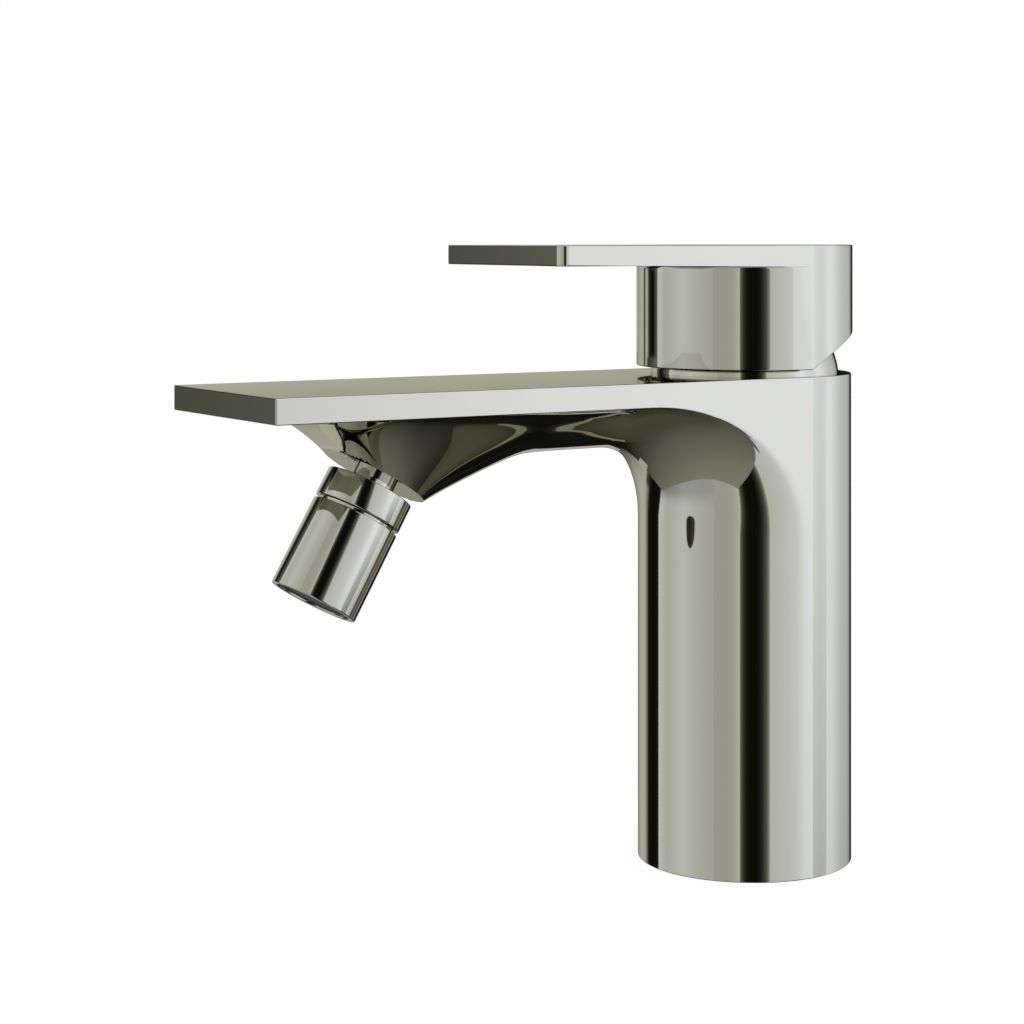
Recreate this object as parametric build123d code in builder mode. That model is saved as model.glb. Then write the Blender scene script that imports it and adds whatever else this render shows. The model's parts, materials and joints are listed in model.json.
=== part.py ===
"""Single-lever bidet mixer: a column with a flat spout, a ball-jointed nozzle and a flat lever.

The frame has +Z up and its origin at the centre of the base, on the deck.
The spout and the lever point along -Y. All lengths are in millimetres.
"""

from build123d import *
from math import cos, pi, radians, sin, sqrt, tan
import os

os.makedirs("parts", exist_ok=True)

# General clearances and the overrun of every cut
overrun = 1.0
bury = 0.05
slip = 0.05
gap = 0.3

# Body: column, spout plate and the sculpted rib under it
column_radius = 24.0
body_height = 109.24
spout_reach = 128.88
spout_thickness = 5.2
rib_depth = 10.0
rib_cover = 2.0

# Flare from the column into the spout, on the centre line and at the flat sides
flare_out_centre = 16.0
flare_out_side = 18.0
flare_height_centre = 15.8
flare_height_side = 30.0
flare_fade = 1.0
flare_sink = 0.1

# Outlet seat at the end of the rib, and the nozzle axis that is square to it
nozzle_tilt = 30.05
seat_from_tip = 33.6
seat_drop = 13.2
seat_radius = 10.4
nozzle_back = 0.65
seat_clear_box = 50.0

# Cartridge chamber in the top of the body
thread_wall = 3.55
cartridge_ledge = 2.85
cartridge_play = 1.3
chamber_depth = 31.24
nut_thread_depth = 4.84
duct_radius = 3.5
duct_depth = 9.34

# Base: recess for the hoses, port insert with its hose ports and stud hole, and the seal groove
recess_wall = 6.0
recess_height = 14.0
insert_height = 24.0
port_radius = 4.46
port_depth = 12.0
port_spacing = 18.0
port_back = 4.5
stud_radius = 3.32
stud_depth = 18.0
stud_front = 9.0
inlet_radius = 2.6
inlet_ring_in = 6.3
inlet_turn = 53.75
base_seal_inset = 3.8
base_seal_section = 1.2
duct_seal_radius = 3.9
duct_seal_section = 0.9

# Cartridge
cartridge_wall = 2.0
base_thickness = 4.0
fixed_disc_thickness = 4.0
moving_disc_thickness = 3.0
moving_disc_radius = 10.5
carrier_height = 5.0
carrier_flat = 8.0
housing_in = 2.24
housing_cap = 2.4
rotor_neck_radius = 10.6
rotor_in = 0.64
outlet_slot_width = 8.0
outlet_slot_height = 2.5
inlet_seal_radius = 3.9
inlet_seal_section = 0.9
housing_seal_section = 0.9
disc_outlet_radius = 4.0
disc_port_radius = 2.4

# Lever pivot, spindle and their travel
pivot_depth = 10.24
lift_angle = 24.0
pin_radius = 1.5
pin_length = 24.0
spindle_width = 7.0
spindle_rise = 20.26
spindle_ball_radius = 2.5
spindle_throw = 6.4
spindle_shank_radius = 1.9

# Retaining nut and dome cap
nut_collar_height = 1.8
nut_play = 0.15
nut_hex_step = 1.6
nut_rise = 3.16
nut_mouth_step = 4.4
dome_lip = 0.7
dome_shoulder_in = 0.85
dome_shoulder_height = 4.06
dome_rim_in = 3.25
dome_rim_height = 6.66
dome_mouth_in = 4.7
dome_mouth_height = 7.9
dome_wall = 1.5
dome_skirt = 0.95

# Lever
lever_rise = 28.76
lever_thickness = 4.24
lever_reach = 64.4
lever_tip_half_width = 23.75
lever_corner_radius = 1.9
head_overhang = 0.31
head_clearance = 1.56
block_front = 4.7
cavity_play = 0.469
relief_start = 0.4
relief_middle_out = 9.3
relief_middle_up = 4.6
relief_up = 8.7
screw_radius = 2.5
screw_length = 8.0
screw_drop = 11.4
screw_hex_across = 2.5
plug_radius = 3.2
plug_length = 2.2

# Ball joint, along the nozzle axis
ball_from_seat = 8.2
ball_radius = 6.2
neck_radius = 4.65
neck_length = 2.3
stud_neck_radius = 3.7
stud_thread_radius = 4.9
stud_thread_length = 7.5
stud_bore_radius = 2.0
ball_cut = 5.0
liner_thickness = 0.95
liner_mouth_radius = 5.25
ball_seal_section = 0.9
ball_seal_radius = 4.6

# Nozzle
nozzle_radius = 9.34
ring_up = 5.9
ring_down = 0.15
ring_mouth_radius = 6.4
ring_seat_mouth_radius = 6.0
ring_skirt_radius = 8.1
ring_skirt_length = 5.9
nozzle_groove = 0.8
nozzle_end = 20.2
nozzle_web_up = 6.5
nozzle_web_thickness = 1.4
nozzle_web_bore = 4.0
aerator_bore = 8.1
rim_chamfer = 0.25

# Aerator
aerator_inset = 0.4
washer_thickness = 1.5
washer_bore = 5.0
insert_bore = 6.95
insert_lip = 5.6
insert_lip_thickness = 1.0
regulator_thickness = 3.0
regulator_hole_radius = 0.7
regulator_hole_ring = 4.2
regulator_hole_count = 8
screen_thickness = 0.8
screen_inset = 0.6
screen_pitch = 2.2
screen_hole_across = 1.7
screen_rows = 5

# Heights that follow from the top of the body
chamber_floor = body_height - chamber_depth
nut_thread_floor = body_height - nut_thread_depth
duct_height = body_height - duct_depth
housing_top = body_height - housing_in
rotor_top = body_height - rotor_in
pivot_height = body_height - pivot_depth
spindle_ball_height = pivot_height - spindle_throw
spindle_top = body_height + spindle_rise
nut_top = body_height + nut_rise
lever_top = body_height + lever_rise
screw_height = lever_top - screw_drop

# Sizes that follow from the column and the walls round its bores
nut_thread_radius = column_radius - thread_wall
cartridge_radius = nut_thread_radius - cartridge_ledge
chamber_radius = cartridge_radius + cartridge_play
recess_radius = column_radius - recess_wall
base_seal_radius = column_radius - base_seal_inset
nut_bore_radius = cartridge_radius + nut_play
nut_hex_across = 2 * (cartridge_radius - nut_hex_step)
nut_mouth_radius = cartridge_radius - nut_mouth_step
dome_foot_radius = nut_thread_radius + dome_lip
dome_shoulder_radius = dome_foot_radius - dome_shoulder_in
dome_rim_radius = dome_foot_radius - dome_rim_in
dome_mouth_radius = dome_rim_radius - dome_mouth_in
head_radius = column_radius + head_overhang
shoulder_over_pivot = body_height + dome_shoulder_height - pivot_height
cavity_radius = sqrt(dome_shoulder_radius**2 + shoulder_over_pivot**2) + cavity_play

# Places that follow from the sizes
spout_underside = body_height - spout_thickness
seat_y = -(spout_reach - seat_from_tip)
seat_z = spout_underside - seat_drop
axis_down = Vector(0, -sin(radians(nozzle_tilt)), -cos(radians(nozzle_tilt)))
seat_centre = Vector(0, seat_y, seat_z)
axis_back = Vector(0, cos(radians(nozzle_tilt)), -sin(radians(nozzle_tilt)))
outlet_centre = seat_centre + axis_back * nozzle_back
ball_centre = outlet_centre + axis_down * ball_from_seat
seat_plane = Plane(origin=seat_centre, x_dir=(1, 0, 0), z_dir=axis_down)
outlet_plane = Plane(origin=outlet_centre, x_dir=(1, 0, 0), z_dir=axis_down)
insert_top = recess_height + insert_height
nozzle_section = Plane(origin=ball_centre, x_dir=(1, 0, 0), z_dir=Vector(1, 0, 0).cross(axis_down))
nozzle_axis = Axis(ball_centre, axis_down)
cartridge_inner = cartridge_radius - cartridge_wall
inlet_ring = cartridge_inner - inlet_ring_in
inlet_spacing = 2 * inlet_ring * sin(radians(inlet_turn))
inlet_back = inlet_ring * cos(radians(inlet_turn))
housing_floor = chamber_floor + base_thickness
fixed_disc_top = housing_floor + fixed_disc_thickness
moving_disc_top = fixed_disc_top + moving_disc_thickness
lever_underside = lever_top - lever_thickness
head_bottom = body_height + head_clearance
slices_share = [k / 4 for k in range(-4, 5)]


def bell(share):
    """Height share of the rib's bell-shaped section at a share of its half width."""
    return cos(pi / 2 * share) ** 2


def nozzle_plane(distance):
    """Plane square to the nozzle axis, at a distance past the ball's centre."""
    return Plane(origin=ball_centre + axis_down * distance, x_dir=(1, 0, 0), z_dir=axis_down)


# Rib stations along the boss, as shares of the seat radius behind the seat and of the rib depth
boss_shares = (
    (4.6, 1.0),
    (3.6, 1.02),
    (2.81, 1.17),
    (1.95, 1.5),
    (0.985, 1.92),
    (0.5, 2.3),
    (0.02, 2.25),
    (-0.46, 1.62),
    (-0.94, 0.82),
    (-1.42, 0.42),
    (-1.9, 0.14),
    (-2.4, -0.03),
)
rib_start_share = 0.25
rib_middle_share = 0.85
rib_end_share = 1.65
rib_stations = [
    (-column_radius * rib_start_share, rib_depth),
    (-column_radius * rib_middle_share, rib_depth),
    (-column_radius * rib_end_share, rib_depth),
]
rib_stations += [(seat_y + back * seat_radius, deep * rib_depth) for back, deep in boss_shares]
rib_half_width = column_radius - bury
rib_top = body_height - rib_cover

# Sculpted rib: bell-shaped sections along the spout, deepest at the outlet
with BuildPart() as spout_rib:
    for station_y, depth in rib_stations:
        with BuildSketch(Plane.XZ.offset(-station_y)):
            with BuildLine():
                crest = [
                    (rib_half_width * k, spout_underside + bury - (depth + bury) * bell(k))
                    for k in slices_share
                ]
                Spline(*crest, tangents=((1, 0), (1, 0)))
                Polyline(
                    (rib_half_width, spout_underside + bury),
                    (rib_half_width, rib_top),
                    (-rib_half_width, rib_top),
                    (-rib_half_width, spout_underside + bury),
                )
            make_face()
    loft()

# Flare: quarter ellipses from the column up into the rib, one for each slice across the spout
with BuildPart() as flare:
    for k in slices_share:
        with BuildSketch(Plane.YZ.offset(column_radius * k)):
            side = k * k
            root_y = -sqrt(max((column_radius - bury) ** 2 * (1 - side), flare_fade**2))
            out_y = -(column_radius + flare_out_centre + (flare_out_side - flare_out_centre) * side)
            high_z = spout_underside + bury + flare_sink - (rib_depth + bury) * bell(k)
            low_centre = spout_underside - rib_depth - flare_height_centre
            low_side = spout_underside - flare_height_side
            low_z = low_centre + (low_side - low_centre) * side
            with BuildLine():
                EllipticalCenterArc(
                    (out_y, low_z), root_y - out_y, high_z - low_z, start_angle=0, arc_size=90
                )
                Polyline((out_y, high_z), (out_y, rib_top), (0, rib_top), (0, low_z), (root_y, low_z))
            make_face()
    loft()

# Tap body: column, plate, rib and flare in one casting, with its bores
with BuildPart() as tap_body:
    with BuildSketch(Plane.XY.offset(spout_underside)):
        with Locations((0, -spout_reach / 2)):
            Rectangle(2 * column_radius, spout_reach)
    extrude(amount=spout_thickness)
    Cylinder(column_radius, body_height, align=(Align.CENTER, Align.CENTER, Align.MIN))
    add(spout_rib.part)
    add(flare.part)
    with BuildSketch(seat_plane):
        Rectangle(seat_clear_box, seat_clear_box)
    extrude(amount=seat_clear_box, mode=Mode.SUBTRACT)
    with BuildSketch(Plane.XY.offset(chamber_floor)):
        Circle(chamber_radius)
    extrude(until=Until.LAST, mode=Mode.SUBTRACT)
    with BuildSketch(Plane.XY.offset(nut_thread_floor)):
        Circle(nut_thread_radius)
    extrude(until=Until.LAST, mode=Mode.SUBTRACT)
    with BuildSketch(Plane.XY):
        Circle(recess_radius)
    extrude(amount=insert_top, mode=Mode.SUBTRACT)
    with BuildSketch(Plane.XY):
        Circle(base_seal_radius + base_seal_section)
        Circle(base_seal_radius - base_seal_section, mode=Mode.SUBTRACT)
    extrude(amount=2 * base_seal_section - gap, mode=Mode.SUBTRACT)
    with BuildSketch(Plane.XY.offset(insert_top)):
        with Locations((-inlet_spacing / 2, inlet_back), (inlet_spacing / 2, inlet_back)):
            Circle(inlet_radius)
    extrude(amount=chamber_floor - insert_top, mode=Mode.SUBTRACT)
    with BuildSketch(Plane.XZ.offset(chamber_radius - overrun)):
        with Locations((0, duct_height)):
            Circle(duct_radius)
    extrude(amount=-seat_y - chamber_radius + overrun, mode=Mode.SUBTRACT)
    with BuildSketch(outlet_plane.offset(-stud_thread_length - gap)):
        Circle(stud_thread_radius)
    extrude(amount=stud_thread_length + gap + overrun, mode=Mode.SUBTRACT)
    with BuildSketch(outlet_plane):
        Circle(stud_bore_radius)
    extrude(amount=-(duct_height - seat_z) / cos(radians(nozzle_tilt)), mode=Mode.SUBTRACT)

# Port insert: turned brass plug in the column's foot, with the hose ports, stud hole and water ways
with BuildPart() as port_insert:
    with BuildSketch(Plane.XY.offset(recess_height)):
        Circle(recess_radius - slip)
    extrude(amount=insert_height)
    with BuildSketch(Plane.XY.offset(recess_height)):
        with Locations((-port_spacing / 2, port_back), (port_spacing / 2, port_back)):
            Circle(port_radius)
    extrude(amount=port_depth, mode=Mode.SUBTRACT)
    with BuildSketch(Plane.XY.offset(recess_height)):
        with Locations((0, -stud_front)):
            Circle(stud_radius)
    extrude(amount=stud_depth, mode=Mode.SUBTRACT)
    with BuildSketch(Plane.XY.offset(recess_height)):
        with Locations((-inlet_spacing / 2, inlet_back), (inlet_spacing / 2, inlet_back)):
            Circle(inlet_radius)
    extrude(amount=insert_height, mode=Mode.SUBTRACT)
    with BuildSketch(Plane.XY.offset(insert_top)):
        with Locations((-inlet_spacing / 2, inlet_back), (inlet_spacing / 2, inlet_back)):
            Circle(duct_seal_radius + slip)
            Circle(duct_seal_radius - duct_seal_section, mode=Mode.SUBTRACT)
    extrude(amount=-duct_seal_section, mode=Mode.SUBTRACT)

# Duct seals: one ring round each water way, in the insert's recesses
with BuildPart() as duct_seals:
    with BuildSketch(Plane.XY.offset(insert_top - duct_seal_section)):
        with Locations((-inlet_spacing / 2, inlet_back), (inlet_spacing / 2, inlet_back)):
            Circle(duct_seal_radius)
            Circle(duct_seal_radius - duct_seal_section + slip, mode=Mode.SUBTRACT)
    extrude(amount=duct_seal_section)

# Base seal: flat-bottomed ring in the groove of the base
with BuildPart() as base_seal:
    with BuildSketch(Plane.XY):
        Circle(base_seal_radius + base_seal_section - slip)
        Circle(base_seal_radius - base_seal_section + slip, mode=Mode.SUBTRACT)
    extrude(amount=2 * base_seal_section - gap)

# Cartridge base: plastic foot with two inlets and an outlet slot to the front
with BuildPart() as cartridge_base:
    with BuildSketch(Plane.XY.offset(chamber_floor)):
        Circle(cartridge_radius)
        with Locations((-inlet_spacing / 2, inlet_back), (inlet_spacing / 2, inlet_back)):
            Circle(inlet_radius, mode=Mode.SUBTRACT)
    extrude(amount=base_thickness)
    with BuildSketch(Plane.XY.offset(chamber_floor)):
        with Locations((-inlet_spacing / 2, inlet_back), (inlet_spacing / 2, inlet_back)):
            Circle(inlet_seal_radius + slip)
            Circle(inlet_seal_radius - 2 * inlet_seal_section, mode=Mode.SUBTRACT)
    extrude(amount=inlet_seal_section, mode=Mode.SUBTRACT)
    with BuildSketch(Plane.XY.offset(housing_floor - outlet_slot_height)):
        with Locations((0, -cartridge_radius / 2)):
            Rectangle(outlet_slot_width, cartridge_radius + overrun)
    extrude(amount=outlet_slot_height, mode=Mode.SUBTRACT)

# Inlet seals: one ring round each inlet, in the foot's recesses
with BuildPart() as inlet_seals:
    with BuildSketch(Plane.XY.offset(chamber_floor)):
        with Locations((-inlet_spacing / 2, inlet_back), (inlet_spacing / 2, inlet_back)):
            Circle(inlet_seal_radius)
            Circle(inlet_seal_radius - 2 * inlet_seal_section + slip, mode=Mode.SUBTRACT)
    extrude(amount=inlet_seal_section)

# Fixed disc: ceramic plate with two inlet ports and the outlet port
with BuildPart() as fixed_disc:
    with BuildSketch(Plane.XY.offset(housing_floor)):
        Circle(cartridge_inner - slip)
        with Locations((-inlet_spacing / 2, inlet_back), (inlet_spacing / 2, inlet_back)):
            Circle(disc_port_radius, mode=Mode.SUBTRACT)
        with Locations((0, -inlet_back)):
            Circle(disc_outlet_radius, mode=Mode.SUBTRACT)
    extrude(amount=fixed_disc_thickness)

# Cartridge housing: cup over the discs, with a mouth for the rotor's neck
with BuildPart() as cartridge_housing:
    with BuildSketch(Plane.XZ):
        with BuildLine():
            Polyline(
                (cartridge_inner, housing_floor),
                (cartridge_radius, housing_floor),
                (cartridge_radius, housing_top),
                (rotor_neck_radius + gap, housing_top),
                (rotor_neck_radius + gap, housing_top - housing_cap),
                (cartridge_inner, housing_top - housing_cap),
                close=True,
            )
        make_face()
    revolve(axis=Axis.Z)

# Housing seal: square ring on the ledge of the nut's thread
with BuildPart() as housing_seal:
    with BuildSketch(Plane.XY.offset(nut_thread_floor)):
        Circle(cartridge_radius + slip + 2 * housing_seal_section)
        Circle(cartridge_radius + slip, mode=Mode.SUBTRACT)
    extrude(amount=2 * housing_seal_section)

# Moving disc: ceramic plate with its mixing pocket underneath
with BuildPart() as moving_disc:
    with BuildSketch(Plane.XY.offset(fixed_disc_top)):
        Circle(moving_disc_radius)
    extrude(amount=moving_disc_thickness)
    with BuildSketch(Plane.XY.offset(fixed_disc_top)):
        Ellipse(moving_disc_radius / 2, moving_disc_radius / 3)
    extrude(amount=moving_disc_thickness / 2, mode=Mode.SUBTRACT)

# Disc carrier: slides between the rotor's flats, grooved for the spindle's ball
with BuildPart() as disc_carrier:
    with BuildSketch(Plane.XY.offset(moving_disc_top)):
        Circle(moving_disc_radius)
        Rectangle(2 * carrier_flat, 2 * moving_disc_radius, mode=Mode.INTERSECT)
    extrude(amount=carrier_height)
    with BuildSketch(Plane.XY.offset(moving_disc_top + carrier_height / 8)):
        Rectangle(2 * carrier_flat + overrun, 2 * (spindle_ball_radius + gap))
    extrude(amount=carrier_height, mode=Mode.SUBTRACT)

# Rotor: turns with the lever, holds the pivot pin and guides the carrier
slot_back = gap + spindle_width / 2 / cos(radians(lift_angle))
slot_back += (rotor_top - pivot_height) * tan(radians(lift_angle))
slot_front = spindle_ball_radius + spindle_throw * sin(radians(lift_angle)) + gap
with BuildPart() as rotor:
    with BuildSketch(Plane.XZ):
        with BuildLine():
            Polyline(
                (0, moving_disc_top + gap),
                (cartridge_inner - gap, moving_disc_top + gap),
                (cartridge_inner - gap, housing_top - housing_cap - gap),
                (rotor_neck_radius, housing_top - housing_cap - gap),
                (rotor_neck_radius, rotor_top),
                (0, rotor_top),
                close=True,
            )
        make_face()
    revolve(axis=Axis.Z)
    with BuildSketch(Plane.XY.offset(moving_disc_top)):
        Rectangle(2 * (carrier_flat + gap), 2 * cartridge_radius)
    extrude(amount=carrier_height + gap, mode=Mode.SUBTRACT)
    with BuildSketch(Plane.XY.offset(moving_disc_top)):
        with Locations((0, (slot_back - slot_front) / 2)):
            Rectangle(spindle_width + 2 * gap, slot_back + slot_front)
    extrude(amount=rotor_top - moving_disc_top, mode=Mode.SUBTRACT)
    with BuildSketch(Plane.YZ.offset(-pin_length / 2)):
        with Locations((0, pivot_height)):
            Circle(pin_radius)
    extrude(amount=pin_length, mode=Mode.SUBTRACT)

# Pivot pin: across the rotor, through the spindle
with BuildPart() as pivot_pin:
    with BuildSketch(Plane.YZ.offset(-pin_length / 2)):
        with Locations((0, pivot_height)):
            Circle(pin_radius)
    extrude(amount=pin_length)

# Spindle: square stem above the pivot, shank and ball end below it
with BuildPart() as spindle:
    with BuildSketch(Plane.XY.offset(pivot_height - spindle_width / 2)):
        Rectangle(spindle_width, spindle_width)
    extrude(amount=spindle_top - pivot_height + spindle_width / 2)
    with BuildSketch(Plane.XY.offset(spindle_ball_height)):
        Circle(spindle_shank_radius)
    extrude(amount=spindle_throw)
    with Locations((0, 0, spindle_ball_height)):
        Sphere(spindle_ball_radius)
    with BuildSketch(Plane.YZ.offset(-spindle_width)):
        with Locations((0, pivot_height)):
            Circle(pin_radius + slip)
    extrude(amount=2 * spindle_width, mode=Mode.SUBTRACT)

# Retaining nut: threaded collar in the body, hexagon above it
collar_floor = nut_thread_floor + 2 * housing_seal_section
with BuildPart() as retaining_nut:
    with BuildSketch(Plane.XY.offset(collar_floor)):
        Circle(nut_thread_radius - slip)
    extrude(amount=nut_collar_height)
    with BuildSketch(Plane.XY.offset(collar_floor)):
        RegularPolygon(nut_hex_across / 2, 6, major_radius=False)
    extrude(amount=nut_top - collar_floor)
    with BuildSketch(Plane.XY.offset(collar_floor)):
        Circle(nut_bore_radius)
    extrude(amount=housing_top - collar_floor, mode=Mode.SUBTRACT)
    with BuildSketch(Plane.XY.offset(collar_floor)):
        Circle(nut_mouth_radius)
    extrude(amount=nut_top - collar_floor, mode=Mode.SUBTRACT)

# Dome cap: rounded collar over the nut, screwed into the body's mouth
dome_inner_foot = dome_foot_radius - dome_wall
dome_span = dome_foot_radius - dome_shoulder_radius
with BuildPart() as dome_cap:
    with BuildSketch(Plane.XZ):
        with BuildLine():
            foot = (dome_foot_radius, body_height)
            waist = (dome_foot_radius - dome_span / 3, body_height + dome_shoulder_height / 2)
            shoulder = (dome_shoulder_radius, body_height + dome_shoulder_height)
            rim = (dome_rim_radius, body_height + dome_rim_height)
            mouth = (dome_mouth_radius, body_height + dome_mouth_height)
            ThreePointArc(foot, waist, shoulder)
            TangentArc(shoulder, rim, tangent=(-dome_span, dome_shoulder_height))
            Polyline(
                rim,
                mouth,
                (dome_mouth_radius, body_height + dome_mouth_height - dome_wall),
                (dome_rim_radius - dome_wall / 2, body_height + dome_rim_height - dome_wall),
                (dome_shoulder_radius - dome_wall, body_height + dome_shoulder_height - dome_wall / 2),
                (dome_inner_foot, body_height),
                (dome_inner_foot, body_height - dome_skirt),
                (nut_thread_radius - slip, body_height - dome_skirt),
                (nut_thread_radius - slip, body_height),
                foot,
            )
        make_face()
    revolve(axis=Axis.Z)

# Lever handle: flat plate, round head with a block at its back, hollow under the head
with BuildPart() as lever_handle:
    with BuildSketch(Plane.XY.offset(lever_underside)) as plate_outline:
        with BuildLine():
            Polyline(
                (head_radius, 0),
                (lever_tip_half_width, -lever_reach),
                (-lever_tip_half_width, -lever_reach),
                (-head_radius, 0),
            )
            ThreePointArc((-head_radius, 0), (0, head_radius), (head_radius, 0))
        make_face()
        fillet(plate_outline.vertices().group_by(Axis.Y)[0], radius=lever_corner_radius)
    extrude(amount=lever_thickness)
    with BuildSketch(Plane.XY.offset(head_bottom)):
        Circle(head_radius)
        with Locations((0, -block_front / 2)):
            Rectangle(2 * head_radius, block_front)
    extrude(amount=lever_underside - head_bottom)
    with Locations((0, 0, pivot_height)):
        Sphere(cavity_radius, mode=Mode.SUBTRACT)
    with BuildSketch(Plane.YZ.offset(-head_radius - overrun)):
        with BuildLine():
            ThreePointArc(
                (relief_start, head_bottom),
                (relief_middle_out, head_bottom + relief_middle_up),
                (head_radius, head_bottom + relief_up),
            )
            Polyline(
                (head_radius, head_bottom + relief_up),
                (head_radius + overrun, head_bottom + relief_up),
                (head_radius + overrun, head_bottom - overrun),
                (relief_start, head_bottom - overrun),
                (relief_start, head_bottom),
            )
        make_face()
    extrude(amount=2 * (head_radius + overrun), mode=Mode.SUBTRACT)
    with BuildSketch(Plane.XY.offset(pivot_height)):
        Rectangle(spindle_width + 2 * slip, spindle_width + 2 * slip)
    extrude(amount=spindle_top + slip - pivot_height, mode=Mode.SUBTRACT)
    with BuildSketch(Plane.XZ.offset(-head_radius - overrun)):
        with Locations((0, screw_height)):
            Circle(screw_radius + slip)
    extrude(amount=head_radius + overrun, mode=Mode.SUBTRACT)
    with BuildSketch(Plane.XZ.offset(-head_radius - overrun)):
        with Locations((0, screw_height)):
            Circle(plug_radius)
    extrude(amount=plug_length + overrun, mode=Mode.SUBTRACT)

# Grub screw: clamps the lever to the spindle from the back
with BuildPart() as grub_screw:
    with BuildSketch(Plane.XZ.offset(-spindle_width / 2 - slip - screw_length)):
        with Locations((0, screw_height)):
            Circle(screw_radius)
    extrude(amount=screw_length)
    with BuildSketch(Plane.XZ.offset(-spindle_width / 2 - slip - screw_length)):
        with Locations((0, screw_height)):
            RegularPolygon(screw_hex_across / 2, 6, major_radius=False)
    extrude(amount=screw_length / 3, mode=Mode.SUBTRACT)

# Screw plug: covers the screw's hole, flush with the head
with BuildPart() as screw_plug:
    with BuildSketch(Plane.XZ.offset(-head_radius)):
        with Locations((0, screw_height)):
            Circle(plug_radius - slip)
    extrude(amount=plug_length)
    with BuildSketch(Plane.XY.offset(head_bottom)):
        Circle(head_radius)
    extrude(amount=lever_underside - head_bottom, mode=Mode.INTERSECT)

# Ball stud: threaded root in the boss, neck and bored ball
with BuildPart() as ball_stud:
    neck_end = ball_from_seat - neck_length
    neck_join = sqrt(ball_radius**2 - stud_neck_radius**2)
    with BuildSketch(nozzle_section):
        with BuildLine():
            Polyline(
                (stud_neck_radius, -neck_join),
                (stud_neck_radius, -neck_end + gap),
                (neck_radius, -neck_end - gap),
                (neck_radius, -ball_from_seat),
                (stud_thread_radius - slip, -ball_from_seat),
                (stud_thread_radius - slip, -ball_from_seat - stud_thread_length),
                (stud_bore_radius, -ball_from_seat - stud_thread_length),
                (stud_bore_radius, ball_cut),
                (sqrt(ball_radius**2 - ball_cut**2), ball_cut),
            )
            ThreePointArc(
                (sqrt(ball_radius**2 - ball_cut**2), ball_cut),
                (ball_radius, 0),
                (stud_neck_radius, -neck_join),
            )
        make_face()
    revolve(axis=nozzle_axis)

# Ball liner: thin spherical friction seat over the ball
liner_inner = ball_radius + slip
liner_outer = liner_inner + liner_thickness
liner_top_inner = sqrt(liner_inner**2 - liner_mouth_radius**2)
liner_top_outer = sqrt(liner_outer**2 - liner_mouth_radius**2)
liner_middle = cos(radians(lift_angle))
with BuildPart() as ball_liner:
    with BuildSketch(nozzle_section):
        with BuildLine():
            ThreePointArc(
                (liner_mouth_radius, -liner_top_inner),
                (liner_inner * liner_middle, -liner_inner * sqrt(1 - liner_middle**2)),
                (liner_inner, 0),
            )
            Line((liner_inner, 0), (liner_outer, 0))
            ThreePointArc(
                (liner_outer, 0),
                (liner_outer * liner_middle, -liner_outer * sqrt(1 - liner_middle**2)),
                (liner_mouth_radius, -liner_top_outer),
            )
            Line((liner_mouth_radius, -liner_top_outer), (liner_mouth_radius, -liner_top_inner))
        make_face()
    revolve(axis=nozzle_axis)

# Ball seal: rubber ring that the ball presses on, below its equator
seal_reach = ball_radius + slip + ball_seal_section
seal_down = sqrt(seal_reach**2 - ball_seal_radius**2)
with BuildPart() as ball_seal:
    with BuildSketch(nozzle_section):
        with Locations((ball_seal_radius, seal_down)):
            Circle(ball_seal_section)
    revolve(axis=nozzle_axis)

# Ring nut: upper ring of the nozzle, a spherical seat inside and a threaded skirt below
ring_inner = liner_outer + slip
ring_seat_top = sqrt(ring_inner**2 - ring_seat_mouth_radius**2)
with BuildPart() as ring_nut:
    with BuildSketch(nozzle_section):
        with BuildLine():
            ThreePointArc(
                (ring_inner, 0),
                (ring_inner * liner_middle, -ring_inner * sqrt(1 - liner_middle**2)),
                (ring_seat_mouth_radius, -ring_seat_top),
            )
            Polyline(
                (ring_seat_mouth_radius, -ring_seat_top),
                (ring_mouth_radius, -ring_up),
                (nozzle_radius - rim_chamfer, -ring_up),
                (nozzle_radius, -ring_up + rim_chamfer),
                (nozzle_radius, ring_down - rim_chamfer),
                (nozzle_radius - rim_chamfer, ring_down),
                (ring_skirt_radius, ring_down),
                (ring_skirt_radius, ring_skirt_length),
                (ring_inner, ring_skirt_length),
                (ring_inner, 0),
            )
        make_face()
    revolve(axis=nozzle_axis)

# Nozzle housing: lower, longer ring with a web that carries the seal and the aerator
web_end = nozzle_web_up + nozzle_web_thickness
with BuildPart() as nozzle_housing:
    with BuildSketch(nozzle_section):
        with BuildLine():
            Polyline(
                (ring_skirt_radius + slip, ring_down + nozzle_groove),
                (nozzle_radius - rim_chamfer, ring_down + nozzle_groove),
                (nozzle_radius, ring_down + nozzle_groove + rim_chamfer),
                (nozzle_radius, nozzle_end - rim_chamfer),
                (nozzle_radius - rim_chamfer, nozzle_end),
                (aerator_bore, nozzle_end),
                (aerator_bore, web_end),
                (nozzle_web_bore, web_end),
                (nozzle_web_bore, nozzle_web_up),
                (ring_skirt_radius + slip, nozzle_web_up),
                close=True,
            )
        make_face()
    revolve(axis=nozzle_axis)

# Aerator washer: flat rubber ring between the web and the insert
with BuildPart() as aerator_washer:
    with BuildSketch(nozzle_plane(web_end)):
        Circle(aerator_bore - slip)
        Circle(washer_bore, mode=Mode.SUBTRACT)
    extrude(amount=washer_thickness)

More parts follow.
